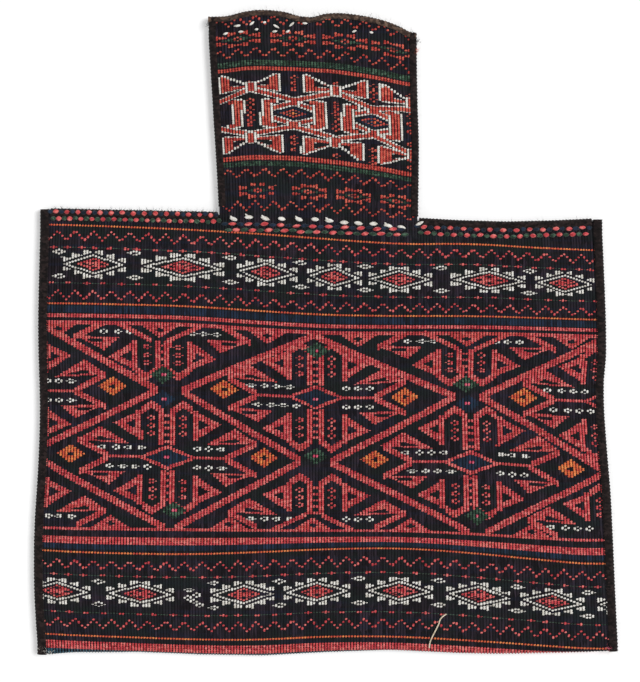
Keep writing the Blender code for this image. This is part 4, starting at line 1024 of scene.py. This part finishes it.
def sheet_mesh():
    """The strip as a closed sheet: its outer face, its lining and the cut edges between them."""
    rows, in_neck = strip_rows()
    gathered = Mesh()
    outer, inner = [], []
    for side, height, _ in rows:
        x = rib_x(sheet_ribs, height if side != "roll" else FOLD_LEVEL)
        place = back_place(x, height) if side == "back" else height
        y, z, out_y, out_z = strip(x, place)
        outer.append(np.stack([x, y, z], -1))
        inner.append(np.stack([x, y - out_y * THICKNESS, z - out_z * THICKNESS], -1))
    width = len(sheet_ribs)
    total = len(rows) * width
    faces = []
    for r in range(len(rows) - 1):
        neck_row = rows[r][2] or rows[r + 1][2]
        for c in range(width - 1):
            if neck_row and not (in_neck[c] and in_neck[c + 1]):
                continue
            a, b = r * width + c, (r + 1) * width + c
            faces.append((a, a + 1, b + 1, b))
            faces.append((total + a, total + b, total + b + 1, total + a + 1))
    edges = {(a, b) for face in faces for a, b in zip(face, face[1:] + face[:1])}
    rim = [(a, b) for a, b in edges if (b, a) not in edges and a < total]
    faces += [(b, a, a + total, b + total) for a, b in rim]
    gathered.add(np.concatenate(outer + inner), faces)
    return gathered


# %% [markdown]
# The corner points beside the neck belong to no face, so they are taken out again.

# %% Making the strip
# The strip's near-black colour is painted shade in the gaps between the stitches.
cloth = make_object("woven_strip", sheet_mesh(), MATERIALS["base_with_painted_gap_shade"], 60)
loose = bmesh.new()
loose.from_mesh(cloth.data)
bmesh.ops.delete(loose, geom=[v for v in loose.verts if not v.link_faces], context="VERTS")
bmesh.ops.recalc_face_normals(loose, faces=loose.faces)
loose.to_mesh(cloth.data)
loose.free()
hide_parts("woven_cloth")

# %% [markdown]
# ### Back of the bag
# The back is plain weave with wide bands of colour. The photograph shows none of it but a sliver
# of teal at the fold, so the bands are a guess. Its ribs are the same warps, in longer steps.

# %% Back stripes
BACK_STRIPES = ((2, 30, "ground"), (30, 62, "teal"), (62, 84, "ground"), (84, 108, "madder_red"),
                (108, 150, "ground"), (150, 196, "navy"), (196, 222, "ground"), (222, 246, "madder_red"),
                (246, 268, "ground"), (268, 320, "teal"), (320, 520, "ground"))
BACK_STEP = 6.5
for rib in np.arange(ALL_RIBS) + 0.5:
    in_neck = NECK_START < rib < NECK_END
    low_x = float(rib_x(rib, -230))
    top_x = float(rib_x(rib, 232 if in_neck else 60))
    table = mouth_back if in_neck else shoulder_top
    top = float(np.interp(top_x, COLUMNS, table)) - EDGE_MARGIN
    tangent, _, _ = roll(low_x)
    for first, last, yarn in BACK_STRIPES:
        start, end = max(first + FOLD_ROW, float(tangent)), min(last + FOLD_ROW, top)
        if end - start < 1:
            continue
        x = float(rib_x(rib, (start + end) / 2))
        key = "ground_back" if yarn == "ground" else yarn
        chain(chains[key], rib, float(back_place(x, end)), float(back_place(x, start)), BACK_STEP,
              GROUND_RISE, False)

# %% [markdown]
# Each yarn's chains become one mesh.

# %% Yarn pieces and the sheet
for key, gathered in chains.items():
    if gathered.count:
        yarn = key if key in MATERIALS else "ground"
        made = make_object(f"{key}_stitches", gathered, MATERIALS[yarn])

# %% [markdown]
# ## Overcast edges
# The two halves are sewn together with thick goat hair that wraps over both edges, turn beside
# turn. Each edge is one ridged sleeve: its section laps over the front and the back, and every turn
# of the yarn stands a little proud, leaning as a wrapped thread does. Loose hairs stick out of it.

# %% Overcasting
TURN_PITCH = 2.7
TURN_HEIGHT = 0.5
SLEEVE_STEP = 0.6
# Heights between which a seam's binding holds the two layers, then how far it laps over the
# cloth, how far it stands out past the edge and how thick it is
SEAM_LOW, SEAM_HIGH = 1.6, 7.8
SEAM_LAP, SEAM_OUT, SEAM_WALL = 3.9, 3.8, 1.2
NECK_LAP, NECK_OUT = 2.9, 3.2
SHOULDER_LAP, SHOULDER_OUT, SHOULDER_WALL = 3.8, 2.8, 1.1


def even(points, step):
    """The same path with points at an even step."""
    points = np.asarray(points, float)
    length = np.r_[0, np.cumsum(np.linalg.norm(np.diff(points, axis=0), axis=1))]
    places = np.linspace(0, length[-1], max(3, round(length[-1] / step)))
    return np.stack([np.interp(places, length, points[:, i]) for i in range(points.shape[1])], -1), places


def sleeve(name, path, side, low, high, lap, out, wall, material, node):
    """Ridged binding along a path; side 1 has the cloth on the path's left."""
    points, length = even(path, SLEEVE_STEP)
    low, high = np.broadcast_to(low, len(path)), np.broadcast_to(high, len(path))
    share = np.linspace(0, 1, len(path))
    low = np.interp(np.linspace(0, 1, len(points)), share, low)
    high = np.interp(np.linspace(0, 1, len(points)), share, high)
    along = np.gradient(points, axis=0)
    along /= np.linalg.norm(along, axis=1)[:, None]
    inward = np.stack([-along[:, 1], along[:, 0]], -1) * side
    middle = (low + high) / 2
    angles = np.radians(np.linspace(90, 270, 7))
    gathered = Mesh()
    sections = []
    for i in range(len(points)):
        half = (high[i] - low[i]) / 2 + wall
        outer = [(lap, half - wall * 0.75), (lap * 0.8, half - wall * 0.2), (lap * 0.4, half)]
        outer += [(out * math.cos(a), half * math.sin(a)) for a in angles]
        outer += [(a, -b) for a, b in reversed(outer[:3])]
        inner = [(lap, low[i] - middle[i]), (-0.4, low[i] - middle[i]), (-0.4, high[i] - middle[i]),
                 (lap, high[i] - middle[i])]
        ring_points = []
        for k, (a, b) in enumerate(outer):
            wave = math.cos(2 * math.pi * (length[i] / TURN_PITCH + k * 0.13)) * TURN_HEIGHT * 0.5
            size = math.hypot(a - lap, b)
            push = (wave - TURN_HEIGHT * 0.5) / max(size, 1)
            ring_points.append((a + (a - lap) * push, b + b * push))
        ring_points += inner
        sections.append([(*(points[i] + inward[i] * a), middle[i] + b) for a, b in ring_points])
    count = len(sections[0])
    faces = []
    for i in range(len(sections) - 1):
        for k in range(count):
            following = (k + 1) % count
            a, b = i * count, (i + 1) * count
            faces.append((a + k, a + following, b + following, b + k))
    last = (len(sections) - 1) * count
    faces.append(tuple(reversed(range(count))))
    faces.append(tuple(range(last, last + count)))
    gathered.add(np.array(sections).reshape(-1, 3), faces if side < 0 else [face[::-1] for face in faces])
    made = make_object(name, gathered, MATERIALS[material], 80)
    if node:
        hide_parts(node)
    return points, inward, middle


def edge_path(rows, places):
    """Path of an edge from its places across at each row."""
    return np.stack([places, rows], -1)


# %% [markdown]
# The six seams: two sides, two neck edges and two shoulders. Each path follows the cloth's edge.

# %% Seams
hair_roots = []
for sign, word, edge in ((-1, "left", body_left), (1, "right", body_right)):
    corner = float(np.interp(sign * 222, COLUMNS, shoulder_top))
    foot = float(np.interp(sign * 222, COLUMNS, fold))
    rows = np.linspace(foot, corner + 1.5, 60)
    path = edge_path(rows, np.interp(rows, BODY_ROWS, edge))
    hair_roots.append(sleeve(f"{word}_side_overcasting", path, -1 if sign < 0 else 1, SEAM_LOW, SEAM_HIGH,
                             SEAM_LAP, SEAM_OUT, SEAM_WALL, "goat_hair", f"{word}_side_binding"))
    neck_edge = neck_left if sign < 0 else neck_right
    rows = np.linspace(corner + 4, float(np.interp(neck_edge[-1], COLUMNS, mouth_back)) + 1, 40)
    path = edge_path(rows, np.interp(rows, NECK_ROWS, neck_edge))
    hair_roots.append(sleeve(f"{word}_neck_overcasting", path, -1 if sign < 0 else 1, SEAM_LOW, SEAM_HIGH,
                             NECK_LAP, NECK_OUT, SEAM_WALL, "goat_hair", f"{word}_neck_binding"))
    inner_end = (LEFT_CORNER if sign < 0 else RIGHT_CORNER) + sign * 3.6
    outer_end = (body_left[-1] if sign < 0 else body_right[-1]) - sign * 5.0
    places = np.linspace(outer_end, inner_end, 30)
    path = np.stack([places, np.interp(places, COLUMNS, shoulder_top)], -1)
    hair_roots.append(sleeve(f"{word}_shoulder_overcasting", path, -1 if sign < 0 else 1, SEAM_LOW, SEAM_HIGH,
                             SHOULDER_LAP, SHOULDER_OUT, SHOULDER_WALL, "goat_hair",
                             f"{word}_shoulder_binding"))

# %% [markdown]
# The mouth's two rims are bound apart, each round its own layer, so that a hand can go in between.

# %% Mouth rims
RIM_LAP, RIM_OUT, RIM_WALL = 2.6, 2.2, 0.8
RIM_ENDS = (-92.5, 71.5)
rim_places = np.linspace(*RIM_ENDS, 44)
front_edge = np.interp(rim_places, COLUMNS, mouth_front)
back_edge = np.interp(rim_places, COLUMNS, mouth_back)
front_face = read_grid(front_heights, rim_places, front_edge - 2)
back_face = read_grid(back_heights, rim_places, back_edge - 2)
hair_roots.append(sleeve("front_rim_overcasting", np.stack([rim_places, front_edge], -1), -1,
                         front_face - THICKNESS - 0.3, front_face + 0.8, RIM_LAP, RIM_OUT, RIM_WALL,
                         "rim_hair", "front_mouth_binding"))
hair_roots.append(sleeve("back_rim_overcasting", np.stack([rim_places, back_edge], -1), -1,
                         back_face - 0.3, back_face + THICKNESS + 0.3, RIM_LAP, RIM_OUT, RIM_WALL,
                         "rim_hair", "back_mouth_binding"))

# %% [markdown]
# ### Stray hairs
# Goat hair is coarse and springy, and its ends work out of the overcasting. Each hair is a thin
# tapering blade with three sides, bent a little, rooted in the binding.

# %% Hairs
HAIR_PITCH = 2.2
HAIR_LENGTH = (1.5, 5.5)
HAIR_RADIUS = 0.09


def hair(gathered, root, direction, length, radius):
    """Thin three-sided fibre of three steps that bends as it goes."""
    bend = rng.normal(0, 0.35, 3)
    points = [np.array(root, float)]
    step = np.array(direction, float)
    for _ in range(3):
        step = step + bend * 0.4
        step /= np.linalg.norm(step)
        points.append(points[-1] + step * length / 3)
    across = np.cross(step, (0.3, 0.2, 1.0))
    across /= np.linalg.norm(across)
    other = np.cross(step, across)
    rings = []
    for i, point in enumerate(points[:3]):
        size = radius * (1 - i * 0.25)
        for turn in range(3):
            angle = 2 * math.pi * turn / 3
            rings.append(point + (across * math.cos(angle) + other * math.sin(angle)) * size)
    rings.append(points[3])
    faces = [(0, 2, 1)]
    for i in range(2):
        for k in range(3):
            a, b = 3 * i + k, 3 * i + (k + 1) % 3
            faces.append((a, b, b + 3, a + 3))
    faces += [(6, 7, 9), (7, 8, 9), (8, 6, 9)]
    gathered.add(rings, faces)


hairs = Mesh()
for points, inward, middle in hair_roots:
    for i in range(2, len(points) - 2):
        if rng.random() > SLEEVE_STEP / HAIR_PITCH:
            continue
        lean = rng.uniform(-0.2, 1.0)
        outward = -inward[i] * (1 - abs(lean) * 0.5) + rng.normal(0, 0.4, 2)
        root = (*(points[i] - inward[i] * rng.uniform(0, 2.2)), middle[i] + lean * 3.2)
        direction = np.array([*outward, lean * 0.8])
        hair(hairs, root, direction / np.linalg.norm(direction), rng.uniform(*HAIR_LENGTH), HAIR_RADIUS)
stray = make_object("stray_goat_hairs", hairs, MATERIALS["goat_hair"], 80)

# %% [markdown]
# Where the bag has rubbed, ends of coloured wool stand out: along the left shoulder, at the neck's
# corners and at the lower corners.

# %% Fuzz and tufts
# Places in mm where worn yarn stands out as a tuft, with its yarn and the number of its fibres
TUFTS = ((-222, -249, "white", 26), (-217, -251, "white", 16), (223, -248, "pink", 30),
         (226, -250, "white", 18), (-138, 95, "green", 34), (-102, 93, "navy", 30),
         (-205, 96, "navy", 24), (-88, 92, "green", 40), (-90.5, 243, "goat_hair", 70),
         (71, 229, "goat_hair", 60), (71.5, 222, "orange", 16), (-84, 240, "goat_hair", 30))
FUZZ_STEP = 0.8
FUZZ_RADIUS = 0.13
fuzz = {yarn: Mesh() for yarn in ("white", "pink", "green", "navy", "orange", "goat_hair")}


def tuft(yarn, x, y, spread, count, lean_y):
    """Short fibres that stand out of one place in all directions, more along one way."""
    for _ in range(count):
        root = (x + rng.normal(0, spread), y + rng.normal(0, spread * 0.6), rng.uniform(6, 8.8))
        direction = np.array([rng.normal(0, 0.8), rng.normal(lean_y, 0.6), rng.uniform(0, 0.6)])
        hair(fuzz[yarn], root, direction / np.linalg.norm(direction), rng.uniform(1.5, 4.5), FUZZ_RADIUS)


for x, y, yarn, count in TUFTS:
    tuft(yarn, x, y, 1.6, count, 0.5 if y > 0 else -0.3)
for x in np.arange(body_left[-1] + 4, LEFT_CORNER - 5, FUZZ_STEP):
    edge = float(np.interp(x, COLUMNS, shoulder_top))
    tuft("green" if rng.random() < 0.35 else "navy", x, edge + 1.8, 0.8, 1, 0.7)
for yarn, gathered in fuzz.items():
    made = make_object(f"{yarn}_fuzz", gathered, MATERIALS[yarn], 80)

# %% [markdown]
# ## Twined rows and running stitches
# Below each shoulder and across the foot of the neck run two rows of thick twined wool, red with
# navy and red with green. White running stitches cross above them. A stitch is a plump lens, a
# half buried spindle of yarn that lies along its row.

# %% Lens stitches
LENS_STEPS, LENS_SIDES = 6, 8


def lens(gathered, centre, direction, length, width, height):
    """Plump spindle of yarn lying on the cloth."""
    along = np.array([direction[0], direction[1], 0.0])
    along /= np.linalg.norm(along)
    across = np.array([-along[1], along[0], 0.0])
    points = [np.array(centre) - along * length / 2]
    for i in range(1, LENS_STEPS):
        t = i / LENS_STEPS
        swell = math.sin(math.pi * t) ** 0.7
        middle = np.array(centre) + along * (t - 0.5) * length
        for k in range(LENS_SIDES):
            angle = 2 * math.pi * k / LENS_SIDES
            points.append(middle + across * math.cos(angle) * width / 2 * swell
                          + np.array([0, 0, math.sin(angle) * height / 2 * swell]))
    points.append(np.array(centre) + along * length / 2)
    faces = []
    last = len(points) - 1
    for k in range(LENS_SIDES):
        following = (k + 1) % LENS_SIDES
        faces.append((0, 1 + following, 1 + k))
        for i in range(LENS_STEPS - 2):
            a = 1 + i * LENS_SIDES
            faces.append((a + k, a + following, a + LENS_SIDES + following, a + LENS_SIDES + k))
        a = 1 + (LENS_STEPS - 2) * LENS_SIDES
        faces.append((a + k, a + following, last))
    gathered.add(points, faces)


def surface(x, y):
    """Height in mm of the front's ribs at a place."""
    return float(read_grid(front_heights, np.array(x), np.array(y))) + 0.35


# %% [markdown]
# The upper row takes turns in red and navy, and the lower one in red and green. The left
# shoulder's upper row lies over the edge itself, where the seam is bulkiest.

# %% Twined rows
# In mm: where a pair of rows starts and ends, how far each lies from the edge that it follows, then
# the pitch of one colour's stitches, their length and their width
SEAM_TOP = 9.0
TWINED = {
    "left": (body_left[-1] + 5, LEFT_CORNER - 2, (-0.2, -5.4), 8.7, 4.6, 3.6),
    "centre": (LEFT_CORNER + 2, RIGHT_CORNER - 2, (-7.2, -11.6), 12.6, 6.8, 3.1),
    "right": (RIGHT_CORNER + 2, body_right[-1] - 5, (-4.6, -9.6), 10.4, 5.4, 3.4),
}
for word, (start, end, drops, pitch, length, width) in TWINED.items():
    twined = {"madder_red": Mesh(), "navy": Mesh(), "green": Mesh()}
    for number, drop in enumerate(drops):
        second = "green" if number else "navy"
        count = int((end - start) / pitch)
        for i in range(2 * count + 1):
            x = start + pitch * (i / 2 + number * 0.25)
            if x > end:
                continue
            row = foot_line(x) if word == "centre" else np.interp(x, COLUMNS, shoulder_top)
            y = float(row) + drop + rng.normal(0, 0.25)
            over = SEAM_TOP if word == "left" and number == 0 else surface(x, y) + 0.55
            lens(twined["madder_red" if i % 2 else second], (x, y, over), (1, rng.normal(0.08, 0.08)),
                 length * rng.uniform(0.9, 1.1), width * rng.uniform(0.9, 1.1), 1.9)
    for yarn, gathered in twined.items():
        made = make_object(f"{word}_twining_{yarn}", gathered, MATERIALS[yarn])
        if yarn == "madder_red":
            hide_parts(f"{word}_shoulder_twining")

# %% [markdown]
# The white stitches go in last, as on the real bag: a row of running stitches across the foot of
# the neck, and a few mending stitches under the mouth.

# %% White stitches
# Places in mm from the middle of the bag, read off the photograph
RUNNING = ((-72.3, 89.6), (-60.2, 90.8), (-47.4, 89.8), (-34.4, 89.5), (-20.9, 89.1), (-8.3, 89.1),
           (2.8, 88), (14.6, 86.6), (25.7, 86), (37.5, 85.6), (49, 84.1), (59.6, 83))
MENDS = ((-69.1, 241, 6.5), (-57.7, 242.5, 5), (-47.8, 243.3, 3), (-38.7, 240.2, 6), (-26.5, 241.7, 5.5),
         (-16.2, 242.5, 4.5), (-78.6, 235.4, 5), (-66.4, 236.2, 4.6), (-54.1, 237.8, 3.2),
         (-39.9, 236.2, 4.4), (-29.6, 236.2, 4), (22.5, 236.3, 4), (35.8, 235.4, 3.5))
white = Mesh()
for x, y in RUNNING:
    tilt = rng.normal(-0.1, 0.15)
    lens(white, (x, y, surface(x, y) + 0.6), (1, tilt), 7.2 * rng.uniform(0.85, 1.1), 3.3, 2.0)
    if rng.random() < 0.6:
        lens(white, (x - 1.6, y + 1.3, surface(x, y) + 0.5), (1, -1.1), 4.2, 1.8, 1.6)
# The last stitch ties down the right end of the row
lens(white, (73.9, 86.1, surface(72, 86) + 1.2), (1, 0.5), 7.5, 2.6, 2.0)
stitches = make_object("white_running_stitches", white, MATERIALS["white"])
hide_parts("white_running_stitch")
mends = Mesh()
for x, y, length in MENDS:
    lens(mends, (x, y, surface(x, y) + 0.5), (1, rng.normal(0.1, 0.35)), length, 1.9, 1.5)
made = make_object("mending_stitches", mends, MATERIALS["white"])

# %% [markdown]
# ## Loose warp end
# A white end of yarn has worked out of the cloth near the bottom fold and lies down towards it. It
# is a free cord of its own length and thickness, resting on the stitches under it.

# %% Loose thread
THREAD_ROUTE = ((95, 31), (92, 29), (89.8, 26.5), (89, 23), (87, 19), (85, 15), (83, 11), (82, 8),
                (81.5, 4))
THREAD_RADIUS = 0.55
route = [(x, y + FOLD_ROW) for x, y in THREAD_ROUTE]
smooth, _ = even(route, 2.0)
thread_points = [(x, y, surface(x, y) + 0.45 + THREAD_RADIUS) for x, y in smooth]
curve = bpy.data.curves.new("loose_warp_end", "CURVE")
curve.dimensions = "3D"
curve.bevel_depth = THREAD_RADIUS * MM
curve.bevel_resolution = 2
curve.use_fill_caps = True
spline = curve.splines.new("POLY")
spline.points.add(len(thread_points) - 1)
for point, place in zip(spline.points, thread_points):
    point.co = (*(value * MM for value in place), 1)
curve.materials.append(MATERIALS["warp"])
thread = bpy.data.objects.new("loose_warp_end", curve)
bpy.context.scene.collection.objects.link(thread)
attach(thread, "root")
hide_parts("loose_thread")

# %% [markdown]
# ## Floor, light and white background
# The bag lies on white paper. One broad lamp from the right gives the soft shadow that hugs the
# left edges, and an even sky fills the rest. Together they light the bag so that a colour renders
# about as it is written. The camera sees the paper a little brighter than it lights the bag.

# %% Floor
# The paper's half width in mm, its drop below the lowest back rib and how much brighter it is seen
PAPER_HALF, FLOOR_DROP = 3000, 0.7
PAPER_LIFT = 0.32
floor_mesh = Mesh()
corners = [(-1, -1), (1, -1), (1, 1), (-1, 1)]
floor_mesh.add([(x * PAPER_HALF, y * PAPER_HALF, 0) for x, y in corners], [(0, 1, 2, 3)])
paper = bpy.data.materials.new("white_paper")
paper.use_nodes = True
tree = paper.node_tree
shader = tree.nodes["Principled BSDF"]
shader.inputs["Base Color"].default_value = linear("#e4e4e4")
shader.inputs["Roughness"].default_value = 1
shader.inputs["Specular IOR Level"].default_value = 0
seen = add(tree, "ShaderNodeLightPath").outputs["Is Camera Ray"]
lift = add(tree, "ShaderNodeMath", {0: seen, 1: PAPER_LIFT}, operation="MULTIPLY")
tree.links.new(lift.outputs[0], shader.inputs["Emission Strength"])
shader.inputs["Emission Color"].default_value = (1, 1, 1, 1)
data = bpy.data.meshes.new("floor")
data.from_pydata((np.concatenate(floor_mesh.points) * MM).tolist(), [], floor_mesh.faces)
data.materials.append(paper)
floor = bpy.data.objects.new("floor", data)
bpy.context.scene.collection.objects.link(floor)
floor.location.z = -FLOOR_DROP * MM
print("floor below the bag in mm:", FLOOR_DROP)

# %% [markdown]
# Wool is judged by its colour, so the light is plain: white, with a sky for the hollows and one
# large soft sun for the ribs' shading. The sun's wide angle blurs the shadow to a soft rim.

# %% Light
SKY, KEY = 0.5, 1.9
KEY_TILT, KEY_TURN, KEY_WIDTH = 34, 8, 25
world = bpy.data.worlds.new("studio")
bpy.context.scene.world = world
world.use_nodes = True
tree = world.node_tree
background = tree.nodes["Background"]
background.inputs["Color"].default_value = (1, 1, 1, 1)
seen = add(tree, "ShaderNodeLightPath").outputs["Is Camera Ray"]
strength = add(tree, "ShaderNodeMapRange", {"Value": seen, "To Min": SKY, "To Max": 1.0})
tree.links.new(strength.outputs[0], background.inputs["Strength"])
key_data = bpy.data.lights.new("key", "SUN")
key_data.energy = KEY
key_data.angle = math.radians(KEY_WIDTH)
key = bpy.data.objects.new("key", key_data)
key.rotation_euler = (math.radians(-KEY_TURN), math.radians(KEY_TILT), 0)
bpy.context.scene.collection.objects.link(key)
bpy.context.scene.view_settings.view_transform = "Standard"
